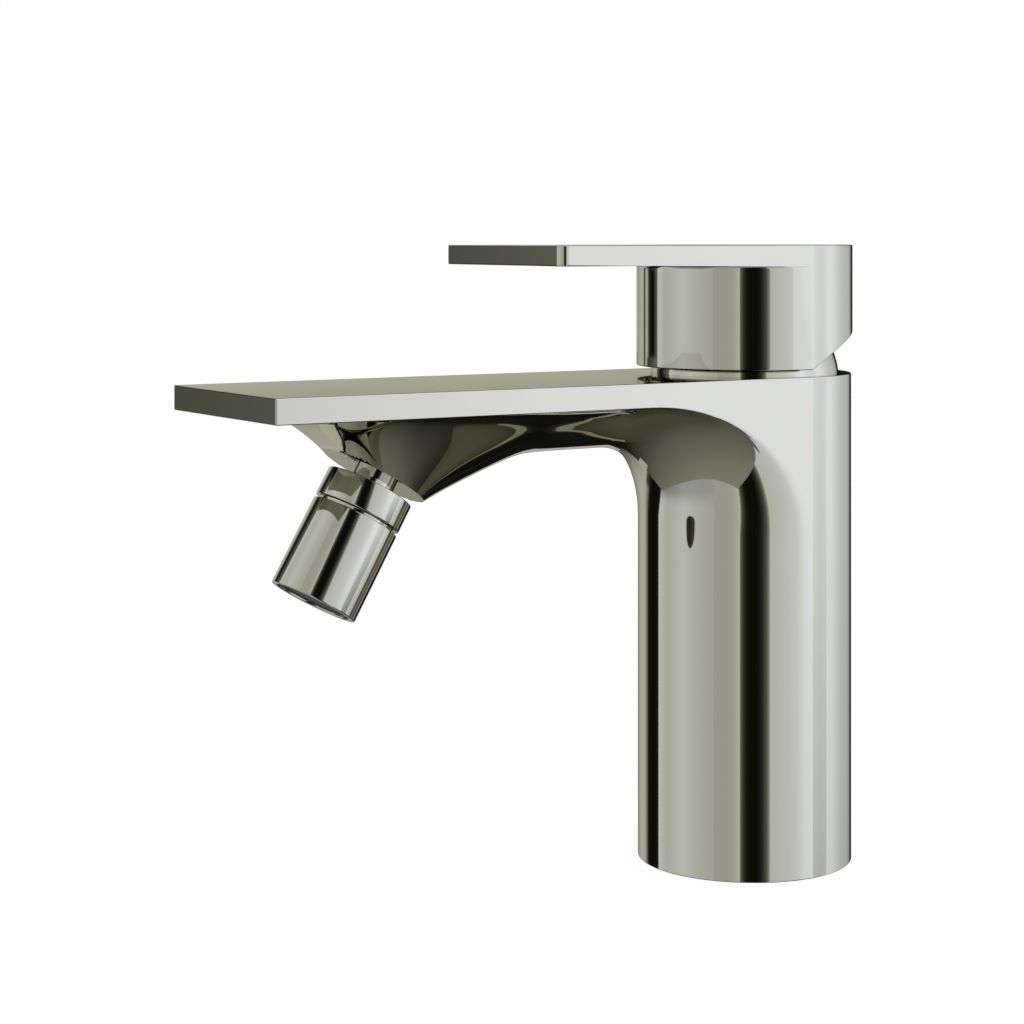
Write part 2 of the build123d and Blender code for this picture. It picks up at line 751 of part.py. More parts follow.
# Aerator insert: black cup that holds the regulator and the screen
insert_start = web_end + washer_thickness
insert_end = nozzle_end - aerator_inset
screen_end = insert_end - screen_inset
with BuildPart() as aerator_insert:
    with BuildSketch(nozzle_section):
        with BuildLine():
            Polyline(
                (insert_lip, insert_start),
                (aerator_bore - slip, insert_start),
                (aerator_bore - slip, insert_end),
                (insert_bore, insert_end),
                (insert_bore, insert_start + insert_lip_thickness),
                (insert_lip, insert_start + insert_lip_thickness),
                close=True,
            )
        make_face()
    revolve(axis=nozzle_axis)

# Flow regulator: drilled plate inside the insert
regulator_start = insert_start + insert_lip_thickness
with BuildPart() as flow_regulator:
    with BuildSketch(nozzle_plane(regulator_start)):
        Circle(insert_bore - slip)
        with PolarLocations(regulator_hole_ring, regulator_hole_count):
            Circle(regulator_hole_radius, mode=Mode.SUBTRACT)
    extrude(amount=regulator_thickness)

# Aerator screen: honeycomb plate in the outlet
with BuildPart() as aerator_screen:
    with BuildSketch(nozzle_plane(screen_end - screen_thickness)):
        Circle(insert_bore - slip)
        with HexLocations(screen_pitch / 2, screen_rows, screen_rows) as cells:
            kept = [
                place
                for place in cells.local_locations
                if place.position.length < insert_bore - screen_pitch / 2
            ]
        with Locations(*kept):
            RegularPolygon(screen_hole_across / 2, 6, major_radius=False, mode=Mode.SUBTRACT)
    extrude(amount=screen_thickness)

pieces = {
    "tap_body": tap_body,
    "port_insert": port_insert,
    "duct_seals": duct_seals,
    "base_seal": base_seal,
    "cartridge_base": cartridge_base,
    "inlet_seals": inlet_seals,
    "fixed_disc": fixed_disc,
    "cartridge_housing": cartridge_housing,
    "housing_seal": housing_seal,
    "moving_disc": moving_disc,
    "disc_carrier": disc_carrier,
    "rotor": rotor,
    "pivot_pin": pivot_pin,
    "spindle": spindle,
    "retaining_nut": retaining_nut,
    "dome_cap": dome_cap,
    "lever_handle": lever_handle,
    "grub_screw": grub_screw,
    "screw_plug": screw_plug,
    "ball_stud": ball_stud,
    "ball_liner": ball_liner,
    "ball_seal": ball_seal,
    "ring_nut": ring_nut,
    "nozzle_housing": nozzle_housing,
    "aerator_washer": aerator_washer,
    "aerator_insert": aerator_insert,
    "flow_regulator": flow_regulator,
    "aerator_screen": aerator_screen,
}
for name, piece in pieces.items():
    piece.part.label = name
    export_step(piece.part, f"parts/{name}.step")
print("ball centre", ball_centre, "spindle throw", round(spindle_throw, 3))
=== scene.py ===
"""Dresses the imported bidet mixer: polished casting, lever, nozzle, finishes, studio and camera."""

import bmesh
import bpy
import json
import logging
import math
import numpy as np
from dataclasses import dataclass
from enum import Enum
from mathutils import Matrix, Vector


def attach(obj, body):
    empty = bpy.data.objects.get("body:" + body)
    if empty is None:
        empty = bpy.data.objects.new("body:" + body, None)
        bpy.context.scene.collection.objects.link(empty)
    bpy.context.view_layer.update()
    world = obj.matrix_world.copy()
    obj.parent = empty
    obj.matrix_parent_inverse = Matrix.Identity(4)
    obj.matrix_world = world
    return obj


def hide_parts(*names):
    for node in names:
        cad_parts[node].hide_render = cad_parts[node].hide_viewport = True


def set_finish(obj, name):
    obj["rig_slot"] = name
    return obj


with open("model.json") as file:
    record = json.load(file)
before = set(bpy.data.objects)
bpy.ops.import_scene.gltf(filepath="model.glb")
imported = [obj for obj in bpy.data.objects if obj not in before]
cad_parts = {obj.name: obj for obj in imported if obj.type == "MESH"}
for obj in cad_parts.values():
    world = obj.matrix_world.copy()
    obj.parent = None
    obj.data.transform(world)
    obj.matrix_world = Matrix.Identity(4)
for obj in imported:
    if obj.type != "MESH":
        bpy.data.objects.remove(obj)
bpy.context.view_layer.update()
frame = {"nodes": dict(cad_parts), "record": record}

MM = 0.001
# How far a cutter reaches past what it cuts, in millimetres.
OVER = 1.0
# Points nearer than this are merged, in metres: on turned pieces, and on the formed casting and lever.
TURNED_MERGE = 1e-7
FORMED_MERGE = 2e-6
# The number of flat strips in a bent card.
CARD_STEPS = 32
# Daylight: from which brightness its blue rises, how fast, by how much at most, and its share of green.
BLUE_FROM = 0.25
BLUE_RISE = 0.27
BLUEST = 0.4
GREEN_SHARE = 1.07
log = logging.getLogger("mixer")


class Body(Enum):
    """The moving bodies that a piece can ride on."""

    TAP = "tap"
    LEVER = "lever"
    NOZZLE = "nozzle"


class Slot(Enum):
    """The record's finishes that the new pieces take."""

    CASTING = "polished_body"
    TRIM = "polished_trim"
    BLACK = "black_plastic"
    MESH = "grey_mesh"


def colour(code: str) -> tuple[float, float, float, float]:
    """Turns an sRGB hex colour into a linear one.

    Args:
        code: The colour as six hex digits.

    Returns:
        Linear red, green, blue and an alpha of one.
    """
    parts = [int(code[i:i + 2], 16) / 255 for i in (0, 2, 4)]
    line = [c / 12.92 if c <= 0.04045 else ((c + 0.055) / 1.055) ** 2.4 for c in parts]
    return (*line, 1.0)


def node(tree: bpy.types.NodeTree, kind: str, settings: dict | None = None,
         links: dict | None = None, **values: object) -> bpy.types.Node:
    """Adds one shader node.

    Args:
        tree: The node tree that gets it.
        kind: The node's type name, without its ShaderNode prefix.
        settings: The node's own properties.
        links: Input names with the output sockets that feed them.
        **values: Input values, with underscores for spaces.

    Returns:
        The new node.
    """
    made = tree.nodes.new("ShaderNode" + kind)
    for name, value in (settings or {}).items():
        setattr(made, name, value)
    for name, value in values.items():
        made.inputs[name.replace("_", " ")].default_value = value
    for name, socket in (links or {}).items():
        tree.links.new(socket, made.inputs[name])
    return made


def blank(name: str) -> tuple[bpy.types.Material, bpy.types.NodeTree]:
    """Makes a material with an empty node tree.

    Args:
        name: The material's name.

    Returns:
        The material and its tree.
    """
    made = bpy.data.materials.new(name)
    made.use_nodes = True
    made.node_tree.nodes.clear()
    return made, made.node_tree


def deselect() -> None:
    """Leaves object mode with nothing selected."""
    if bpy.context.object and bpy.context.object.mode != "OBJECT":
        bpy.ops.object.mode_set(mode="OBJECT")
    bpy.ops.object.select_all(action="DESELECT")


def activate(piece: bpy.types.Object) -> None:
    """Selects one object alone and makes it active.

    Args:
        piece: The object.
    """
    deselect()
    piece.select_set(True)
    bpy.context.view_layer.objects.active = piece


def edit(piece: bpy.types.Object, act: str = "SELECT") -> None:
    """Opens a piece in edit mode.

    Args:
        piece: The mesh object.
        act: What is done to the whole of it there, SELECT or DESELECT.
    """
    activate(piece)
    bpy.ops.object.mode_set(mode="EDIT")
    bpy.ops.mesh.select_all(action=act)


def close_edit() -> None:
    """Goes back to object mode."""
    bpy.ops.object.mode_set(mode="OBJECT")


def place(piece: bpy.types.Object) -> None:
    """Applies a piece's place, turn and scale to its mesh."""
    activate(piece)
    bpy.ops.object.transform_apply(location=True, rotation=True, scale=True)


def apply_modifiers(piece: bpy.types.Object) -> None:
    """Applies every modifier of a piece, in order.

    Args:
        piece: The mesh object.
    """
    activate(piece)
    for modifier in list(piece.modifiers):
        bpy.ops.object.modifier_apply(modifier=modifier.name)


def clean(piece: bpy.types.Object, merge: float, sharp: float) -> None:
    """Merges a piece's doubles, points its faces outwards and smooths it up to an angle.

    Args:
        piece: The mesh object.
        merge: The merge distance in metres.
        sharp: The angle in degrees past which an edge stays sharp.
    """
    edit(piece)
    bpy.ops.mesh.remove_doubles(threshold=merge)
    bpy.ops.mesh.normals_make_consistent(inside=False)
    close_edit()
    bpy.ops.object.shade_smooth_by_angle(angle=math.radians(sharp))


def cut(piece: bpy.types.Object, cutter: bpy.types.Object, operation: str = "DIFFERENCE") -> None:
    """Applies a boolean with a cutter and deletes the cutter.

    Args:
        piece: The mesh that is changed.
        cutter: The mesh that is taken from it or added to it.
        operation: The boolean's kind.
    """
    modifier = piece.modifiers.new(cutter.name, "BOOLEAN")
    modifier.operation = operation
    modifier.solver = "EXACT"
    modifier.object = cutter
    apply_modifiers(piece)
    bpy.data.objects.remove(cutter)


def fresh(name: str, points: list, edges: list, faces: list) -> bpy.types.Object:
    """Adds an object whose mesh is given by its points, edges and faces.

    Args:
        name: The object's name.
        points: Its points, in metres.
        edges: Its loose edges, as pairs of point numbers.
        faces: Its faces, as lists of point numbers.

    Returns:
        The object, at the origin.
    """
    deselect()
    bpy.ops.mesh.primitive_plane_add(size=MM)
    made = bpy.context.object
    made.name = name
    made.data.clear_geometry()
    made.data.from_pydata(points, edges, faces)
    return made


def extruded(name: str, outline: list[tuple[float, float, float]],
             way: tuple[float, float, float]) -> bpy.types.Object:
    """Extrudes a flat outline along a straight way.

    Args:
        name: The object's name.
        outline: The outline's points, in metres.
        way: How far and where it is extruded, in metres.

    Returns:
        The closed solid.
    """
    made = fresh(name, outline, [], [range(len(outline))])
    edit(made)
    bpy.ops.mesh.extrude_region_move(TRANSFORM_OT_translate={"value": way})
    bpy.ops.mesh.select_all(action="SELECT")
    bpy.ops.mesh.normals_make_consistent(inside=False)
    close_edit()
    return made


def drum(name: str, radius: float, low: Vector, high: Vector, sides: int) -> bpy.types.Object:
    """Adds a closed cylinder between two points.

    Args:
        name: The object's name.
        radius: Its radius in metres.
        low: The centre of one end.
        high: The centre of the other end.
        sides: The number of its sides.

    Returns:
        The cylinder, with its place applied.
    """
    deselect()
    axis = high - low
    bpy.ops.mesh.primitive_cylinder_add(
        vertices=sides, radius=radius, depth=axis.length, location=(low + high) / 2,
        rotation=axis.to_track_quat("Z", "Y").to_euler())
    made = bpy.context.object
    made.name = name
    place(made)
    return made


def turned(name: str, outline: list[tuple[float, float]], origin: Vector, axis: Vector,
           steps: int = 192) -> bpy.types.Object:
    """Spins a closed outline round an axis, as on a lathe.

    Args:
        name: The object's name.
        outline: Radius and distance along the axis of each point, in metres.
        origin: The point of the axis at distance zero.
        axis: The axis's direction.
        steps: The number of steps in a full turn.

    Returns:
        The turned piece.
    """
    side = axis.orthogonal().normalized()
    points = [origin + side * r + axis * s for r, s in outline]
    count = len(points)
    made = fresh(name, [p[:] for p in points], [(i, (i + 1) % count) for i in range(count)], [])
    edit(made)
    bpy.ops.mesh.spin(steps=steps, angle=math.tau, center=origin, axis=axis)
    bpy.ops.mesh.remove_doubles(threshold=TURNED_MERGE)
    bpy.ops.mesh.normals_make_consistent(inside=False)
    close_edit()
    return made


def bent(first: Vector, pull: Vector, last: Vector, steps: int) -> list[Vector]:
    """Gives the points of a curve that sets out towards a third point and comes in from it.

    Args:
        first: The curve's start.
        pull: The point that pulls it aside.
        last: The curve's end.
        steps: The number of its parts.

    Returns:
        The points, with both ends.
    """
    return [first * (1 - t) ** 2 + pull * 2 * t * (1 - t) + last * t * t
            for t in np.linspace(0, 1, steps + 1)]


def rounded(points: list[tuple[float, float]], radius: float, steps: int = 4) -> list[tuple[float, float]]:
    """Rounds the corners of a closed outline, apart from the nearly straight ones.

    Args:
        points: The outline's corners.
        radius: The rounding's radius, limited by the shorter side at each corner.
        steps: The number of parts of each rounding.

    Returns:
        The outline with arcs for its corners.
    """
    made = []
    for i, here in enumerate(points):
        corner = Vector(here)
        to_last = Vector(points[i - 1]) - corner
        to_next = Vector(points[(i + 1) % len(points)]) - corner
        half = to_last.angle(to_next) / 2
        back = min(radius / math.tan(half), 0.45 * to_last.length, 0.45 * to_next.length)
        if half > 0.49 * math.pi:
            made.append(here)
            continue
        start, end = corner + to_last.normalized() * back, corner + to_next.normalized() * back
        made += [tuple(p) for p in bent(start, corner, end, steps)]
    return made


@dataclass
class Casting:
    """The tap body: column, plate and sculpted underside as one shell. Sizes in millimetres.

    Attributes:
        radius: The column's radius, which is also half the plate's width.
        height: The height of the plate's top.
        reach: How far the plate reaches from the column's axis.
        plate: The plate's thickness.
        rib: How deep the rib hangs under the plate.
        edge: The rounding of the outer edges.
        flare_out: How far before the column the flare meets the plate, in the middle and at the sides.
        flare_low: The height at which the flare leaves the column, in the middle and at the sides.
        boss_back: How far the boss's middle lies behind the plate's end.
        boss_radius: The radius at which the boss has its own depth.
        boss_depth: That depth at its sides, and what it gains behind and loses in front.
        boss_spread: How far its flank runs out behind and in front.
        boss_power: How hollow the flank is. One is straight.
        boss_blend: How softly the boss runs into the rib.
        rib_fade: How far behind the boss's middle the rib is half gone, and how long its fade is.
        seat_drop: How far under the plate the boss's slanted face has its middle.
        tilt: The face's tilt, in degrees.
        seat_room: How far from its middle the face is cut.
        seat_clear: How far under the plate the cut starts.
        edge_points: The number of points round an edge at the foot.
        wall_rows: The number of rows up the column.
        flare_rows: The number of rows in the flare.
        run_step: The length of a step along the plate's underside.
        top_points: The number of points along the plate's top.
        back_points: The number of points across the column's top, behind its axis.
        upper_points: The number of points up the column's back beside the plate.
        slices: The number of lengthwise slices.
        bore_steps: The number of steps round each bore.
        sharp: The angle past which an edge stays sharp, in degrees.
        recess: The radius and the top of the foot's recess.
        chamber: The radius and the floor of the cartridge's chamber.
        thread: The radius of the nut's thread, and the height at which it starts.
        groove: The seal's groove: its inner radius, outer radius and depth.
    """

    radius: float = 24.0
    height: float = 109.24
    reach: float = 128.88
    plate: float = 5.2
    rib: float = 10.0
    edge: float = 0.25
    flare_out: tuple[float, float] = (16.0, 18.0)
    flare_low: tuple[float, float] = (78.24, 74.04)
    boss_back: float = 33.64
    boss_radius: float = 10.4
    boss_depth: tuple[float, float] = (13.1, 6.2)
    boss_spread: tuple[float, float] = (72.9, 22.3)
    boss_power: float = 1.4
    boss_blend: float = 1.2
    rib_fade: tuple[float, float] = (0.0, 22.0)
    seat_drop: float = 13.2
    tilt: float = 30.05
    seat_room: float = 11.6
    seat_clear: float = 1.0
    edge_points: int = 5
    wall_rows: int = 12
    flare_rows: int = 30
    run_step: float = 0.5
    top_points: int = 20
    back_points: int = 6
    upper_points: int = 10
    slices: int = 96
    bore_steps: int = 144
    sharp: float = 32.0
    recess: tuple[float, float] = (18.0, 38.0)
    chamber: tuple[float, float] = (18.9, 78.0)
    thread: tuple[float, float] = (20.45, 104.4)
    groove: tuple[float, float, float] = (19.0, 21.4, 2.1)

    @property
    def underside(self) -> float:
        """Height of the plate's lower face."""
        return self.height - self.plate

    @property
    def boss_y(self) -> float:
        """Place of the boss along the spout."""
        return -(self.reach - self.boss_back)

    def edge_drop(self, inset: np.ndarray) -> np.ndarray:
        """Gives how far a rounded edge lies under its flat face at a distance in from the side."""
        left = np.clip(self.edge - inset, 0, self.edge)
        return self.edge - np.sqrt(self.edge ** 2 - left ** 2)

    def depth(self, x: float, y: np.ndarray) -> np.ndarray:
        """Gives how deep the sculpted underside hangs below the plate.

        Args:
            x: Place across the spout.
            y: Places along the spout.

        Returns:
            The depths, as a smooth greater of the rib's bell and the boss's flank.
        """
        bell = math.cos(math.pi / 2 * min(abs(x) / self.radius, 1)) ** 2
        ahead = np.clip((self.boss_y - y + self.rib_fade[0]) / self.rib_fade[1] + 0.5, 0, 1)
        rib = self.rib * bell * (1 - ahead * ahead * (3 - 2 * ahead))
        back = y - self.boss_y
        out = np.maximum(np.hypot(x, back), 1e-6)
        cosine, sine = back / out, x / out
        long = np.where(cosine > 0, self.boss_spread[0], self.boss_spread[1])
        spread = 1 / np.sqrt((cosine / long) ** 2 + (sine / self.radius) ** 2)
        share = (out - self.boss_radius) / (spread - self.boss_radius)
        crest = self.boss_depth[0] + self.boss_depth[1] * cosine * np.minimum(out / self.boss_radius, 1)
        boss = crest * np.clip(1 - share, 0, None) ** self.boss_power
        soft = self.boss_blend * min(1.0, 2 * bell) * np.clip(boss, 0, 1) * np.clip(rib, 0, 1)
        return 0.5 * (rib + boss + np.sqrt((rib - boss) ** 2 + soft ** 2))

    def slice(self, turn: float) -> list[tuple[float, float, float]]:
        """Gives one lengthwise slice of the shell.

        Args:
            turn: The slice's angle round the column, from -90 to 90 degrees, in radians.

        Returns:
            The slice's closed outline, the same number of points for every slice.
        """
        r, f = self.radius, self.edge
        x = r * math.sin(turn)
        wall = r * math.cos(turn)
        side = (x / r) ** 2
        low = self.flare_low[0] + (self.flare_low[1] - self.flare_low[0]) * side
        out = -(r + self.flare_out[0] + (self.flare_out[1] - self.flare_out[0]) * side)
        high = self.underside - float(self.depth(x, np.array([out]))[0])
        bend = np.linspace(0, math.pi / 2, self.edge_points)
        ring = r - f + f * np.sin(bend)
        reach_in = np.sqrt(np.clip(ring ** 2 - x * x, 0, None))
        foot = f - f * np.cos(bend)
        rise = np.linspace(0, 1, self.wall_rows)[1:]
        wall_z = f + (self.flare_low[1] - f) * rise
        front_z = f + (low - f) * rise
        arc = np.linspace(0, math.pi / 2, self.flare_rows)[1:]
        root = -wall
        flare_y = out + (root - out) * np.cos(arc)
        flare_z = low + (high - low) * np.sin(arc)
        count = int((self.reach - r - self.flare_out[1] - f) / self.run_step)
        run = out + (f - self.reach - out) * (np.arange(1, count + 1) / count)
        run_z = self.underside - self.depth(x, run)
        nose = np.array([0.0, 0.3, 0.6, 0.85, 1.0]) * math.pi / 2
        end_y = f - self.reach - f * np.sin(nose)
        lower_z = self.underside + f - f * np.cos(nose)
        upper_z = self.height - f + f * np.sin(nose)
        upper_y = f - self.reach - f * np.cos(nose)
        inset = max(r - abs(x), 0.0)
        drop = float(self.edge_drop(np.array([inset]))[0])
        hold = np.sin(arc) ** 2
        slope_y, slope_z = np.gradient(flare_y), np.gradient(flare_z)
        length = np.hypot(slope_y, slope_z)
        flare_y = flare_y + drop * hold * slope_z / length
        flare_z = flare_z - drop * hold * slope_y / length
        top_y = np.linspace(f - self.reach, 0, self.top_points)[1:]
        back_y = reach_in
        gone = r - np.hypot(x, back_y)
        top_back = np.linspace(0, 1, self.back_points)[1:-1] * back_y[0]
        top_drop = self.edge_drop(r - np.hypot(x, top_back))
        upper = np.linspace(self.flare_low[1], self.height - f, self.upper_points)[1:-1][::-1]
        rows = [(-y, z) for y, z in zip(reach_in, foot)]
        rows += [(-wall, z) for z in front_z]
        rows += list(zip(flare_y, flare_z))
        rows += list(zip(run, run_z + drop))
        rows += [(y + drop, max(z, self.underside + drop)) for y, z in zip(end_y[1:], lower_z[1:])]
        rows += [(y + drop, min(z, self.height - drop)) for y, z in zip(upper_y, upper_z)]
        rows += [(y, self.height - drop) for y in top_y]
        rows += [(y, self.height - d) for y, d in zip(top_back, top_drop)]
        rows += [(y, self.height - d) for y, d in zip(back_y, self.edge_drop(gone))]
        rows += [(wall, z) for z in upper]
        rows += [(wall, z) for z in wall_z[::-1]]
        rows += [(y, z) for y, z in zip(reach_in[::-1], foot[::-1])]
        return [(x * MM, y * MM, z * MM) for y, z in rows]

    def shell(self) -> bpy.types.Object:
        """Builds the closed shell from its slices and the two flat sides.

        Returns:
            The shell, without its cuts.
        """
        turns = np.linspace(-math.pi / 2, math.pi / 2, self.slices + 1)
        grid = [self.slice(float(t)) for t in turns]
        count = len(grid[0])
        points = [p for row in grid for p in row]
        faces = [(i * count + j, i * count + (j + 1) % count, (i + 1) * count + (j + 1) % count,
                  (i + 1) * count + j) for i in range(self.slices) for j in range(count)]
        made = fresh("casting", points, [], faces)
        edit(made)
        bpy.ops.mesh.remove_doubles(threshold=FORMED_MERGE)
        bpy.ops.mesh.select_all(action="DESELECT")
        bpy.ops.mesh.select_non_manifold()
        bpy.ops.mesh.fill_holes(sides=0)
        bpy.ops.mesh.select_all(action="SELECT")
        bpy.ops.mesh.normals_make_consistent(inside=False)
        close_edit()
        return made

    def face_outlet(self, shell: bpy.types.Object) -> None:
        """Cuts the boss to its flat slanted face.

        Args:
            shell: The casting's shell.
        """
        seat = Vector((0, self.boss_y * MM, (self.underside - self.seat_drop) * MM))
        down = Vector((0, -math.sin(math.radians(self.tilt)), -math.cos(math.radians(self.tilt))))
        edit(shell, "DESELECT")
        mesh = bmesh.from_edit_mesh(shell.data)
        for face in mesh.faces:
            centre = face.calc_center_median()
            away = centre - seat
            near = math.hypot(away.x, away.y) < self.seat_room * MM
            face.select_set(near and centre.z < (self.underside - self.seat_clear) * MM)
        bmesh.update_edit_mesh(shell.data)
        bpy.ops.mesh.bisect(plane_co=seat, plane_no=down, use_fill=True, clear_outer=True)
        close_edit()

    def hollow(self, shell: bpy.types.Object) -> None:
        """Cuts the foot's recess, the seal's groove and the cartridge chamber.

        Args:
            shell: The casting's shell.
        """
        deck, up = Vector(), Vector((0, 0, 1))
        radius, top = self.recess
        foot = [(0, -OVER), (radius, -OVER), (radius, top), (0, top)]
        inner, outer, top = self.groove
        ring = [(inner, -OVER), (outer, -OVER), (outer, top), (inner, top)]
        (radius, floor), (wide, step) = self.chamber, self.thread
        well = [(0, floor), (radius, floor), (radius, step), (wide, step), (wide, self.height + OVER),
                (0, self.height + OVER)]
        for name, outline in (("foot", foot), ("ring", ring), ("well", well)):
            cut(shell, turned(name, [(r * MM, z * MM) for r, z in outline], deck, up, self.bore_steps))

    def build(self) -> bpy.types.Object:
        """Builds the casting and hides its plain solid.

        Returns:
            The casting.
        """
        shell = self.shell()
        self.face_outlet(shell)
        self.hollow(shell)
        clean(shell, FORMED_MERGE, self.sharp)
        weighted = shell.modifiers.new("flat faces", "WEIGHTED_NORMAL")
        weighted.keep_sharp = True
        apply_modifiers(shell)
        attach(shell, Body.TAP.value)
        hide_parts("tap_body")
        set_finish(shell, Slot.CASTING.value)
        return shell


@dataclass
class Lever:
    """The flat lever with its round head, hollow under the head. Sizes in millimetres.

    Attributes:
        top: The height of the plate's top.
        thickness: The plate's thickness.
        reach: How far the plate reaches from the column's axis.
        tip_half: Half the plate's width at its tip.
        corner: The rounding of the tip's corners, seen from above.
        head: The head's radius.
        bottom: The height of the head's lower rim.
        block: How far before the axis the head's flat cheeks end.
        pivot: The height of the pivot, about which the head is hollowed as a ball.
        cavity: The hollow's radius.
        relief: Three points of the curve that clears the head's back: place behind the axis and height
            above the rim.
        edge: The rounding of the outer edges.
        cove: The rounding between the plate's underside and the head.
        cove_share: The most that the cove takes of the room beside it.
        cove_steps: The number of flats in a rounded edge.
        crease: The angle from which an edge is rounded, in degrees.
        beside: How near a place counts as on the head or on the cheeks' ends.
        level: How near a height counts as the plate's underside.
        arc_steps: The number of steps round half the head.
        corner_steps: The number of steps in a corner of the tip.
        relief_steps: The number of steps in the relief's curve.
        ball_sides: The number of steps round the hollow.
        sharp: The angle past which an edge stays sharp, in degrees.
    """

    top: float = 138.0
    thickness: float = 4.24
    reach: float = 64.4
    tip_half: float = 23.75
    corner: float = 1.9
    head: float = 24.31
    bottom: float = 110.8
    block: float = 4.7
    pivot: float = 99.0
    cavity: float = 25.3
    relief: tuple[tuple[float, float], ...] = ((0.4, 0.0), (9.3, 4.6), (24.31, 8.7))
    edge: float = 0.25
    cove: float = 0.9
    cove_share: float = 0.75
    cove_steps: int = 5
    crease: float = 40.0
    beside: float = 0.05
    level: float = 0.02
    arc_steps: int = 160
    corner_steps: int = 8
    relief_steps: int = 48
    ball_sides: int = 128
    sharp: float = 30.0

    def prism(self, name: str, outline: list[tuple[float, float]], low: float,
              high: float) -> bpy.types.Object:
        """Extrudes an outline in plan from one height to another."""
        return extruded(name, [(x * MM, y * MM, low * MM) for x, y in outline], (0, 0, (high - low) * MM))

    def plan(self) -> list[tuple[float, float]]:
        """Gives the lever's outline seen from above.

        Returns:
            The outline's points, in millimetres.
        """
        turns = np.linspace(0, math.pi, self.arc_steps + 1)
        points = [(self.head * math.cos(t), self.head * math.sin(t)) for t in turns]
        for sign in (-1, 1):
            sweep = np.linspace(0, math.pi / 2, self.corner_steps + 1)
            centre_x, centre_y = sign * (self.tip_half - self.corner), -self.reach + self.corner
            bow = [(centre_x + sign * self.corner * math.cos(t), centre_y - self.corner * math.sin(t))
                   for t in sweep]
            points += bow if sign < 0 else bow[::-1]
        return points

    def head_plan(self) -> list[tuple[float, float]]:
        """Gives the head's outline: a round with flat cheeks in front of its middle.

        Returns:
            The outline's points, in millimetres.
        """
        start = math.asin(self.block / self.head)
        front = np.linspace(math.pi + start, math.tau - start, self.arc_steps + 1)
        back = np.linspace(0, math.pi, self.arc_steps + 1)
        return [(self.head * math.cos(t), self.head * math.sin(t)) for t in (*back, *front)]

    def build(self) -> bpy.types.Object:
        """Builds the lever and hides its plain solid.

        Returns:
            The lever.
        """
        under = self.top - self.thickness
        plate = self.prism("lever", self.plan(), under, self.top)
        head = self.prism("head", self.head_plan(), self.bottom, under + self.thickness / 2)
        cut(plate, head, "UNION")
        deselect()
        bpy.ops.mesh.primitive_uv_sphere_add(
            segments=self.ball_sides, ring_count=self.ball_sides // 2, radius=self.cavity * MM,
            location=(0, 0, self.pivot * MM))
        ball = bpy.context.object
        place(ball)
        cut(plate, ball)
        cut(plate, self.relief_cutter())
        clean(plate, FORMED_MERGE, self.sharp)
        self.weigh(plate)
        bevel = plate.modifiers.new("edges", "BEVEL")
        bevel.width, bevel.segments, bevel.limit_method = self.cove * MM, self.cove_steps, "WEIGHT"
        bevel.use_clamp_overlap = False
        weighted = plate.modifiers.new("flat faces", "WEIGHTED_NORMAL")
        weighted.keep_sharp = True
        apply_modifiers(plate)
        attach(plate, Body.LEVER.value)
        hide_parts("lever_handle")
        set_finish(plate, Slot.TRIM.value)
        return plate

    def weigh(self, lever: bpy.types.Object) -> None:
        """Marks how far each edge is rounded: a cove under the plate, and the block's edges left crisp.

        Args:
            lever: The lever, before its edges are rounded.
        """
        under = (self.top - self.thickness) * MM
        edit(lever)
        mesh = bmesh.from_edit_mesh(lever.data)
        share = mesh.edges.layers.float.new("bevel_weight_edge")
        for edge in mesh.edges:
            if edge.calc_face_angle(0.0) < math.radians(self.crease):
                continue
            first, last = (v.co for v in edge.verts)
            middle = (first + last) / 2
            upright = abs(first.z - last.z) > abs(first.x - last.x) + abs(first.y - last.y)
            round_head = middle.xy.length < (self.head + self.beside) * MM
            inside = round_head or abs(middle.y) < (self.block + self.beside) * MM
            if upright and abs(middle.y + self.block * MM) < self.beside * MM:
                continue
            ahead = middle.y < -(self.block - self.beside) * MM
            joint = abs(middle.z - under) < self.level * MM and inside and ahead
            room = (self.head * MM - max(abs(first.x), abs(last.x))) / (self.cove * MM)
            edge[share] = min(1.0, self.cove_share * room) if joint else self.edge / self.cove
        bmesh.update_edit_mesh(lever.data)
        close_edit()

    def relief_cutter(self) -> bpy.types.Object:
        """Makes the bent wedge that clears the head's back when the lever lifts.

        Returns:
            The cutter.
        """
        first, middle, last = (Vector(p) for p in self.relief)
        ab, bc = middle - first, last - middle
        mid_a, mid_b = (first + middle) / 2, (middle + last) / 2
        turn = Vector((-ab.y, ab.x))
        reach = bc.dot(mid_b - mid_a) / bc.dot(turn)
        centre = mid_a + turn * reach
        radius = (first - centre).length
        start = math.atan2(first.y - centre.y, first.x - centre.x)
        end = math.atan2(last.y - centre.y, last.x - centre.x)
        arc = [(centre.x + radius * math.cos(t), centre.y + radius * math.sin(t))
               for t in np.linspace(start, end, self.relief_steps + 1)]
        slope = (last.y - arc[-2][1]) / (last.x - arc[-2][0])
        arc += [(last.x + OVER, last.y + slope * OVER), (last.x + OVER, -OVER), (first.x, -OVER)]
        wide = self.head + OVER
        side = [(-wide * MM, y * MM, (self.bottom + z) * MM) for y, z in arc]
        return extruded("relief", side, (2 * wide * MM, 0, 0))


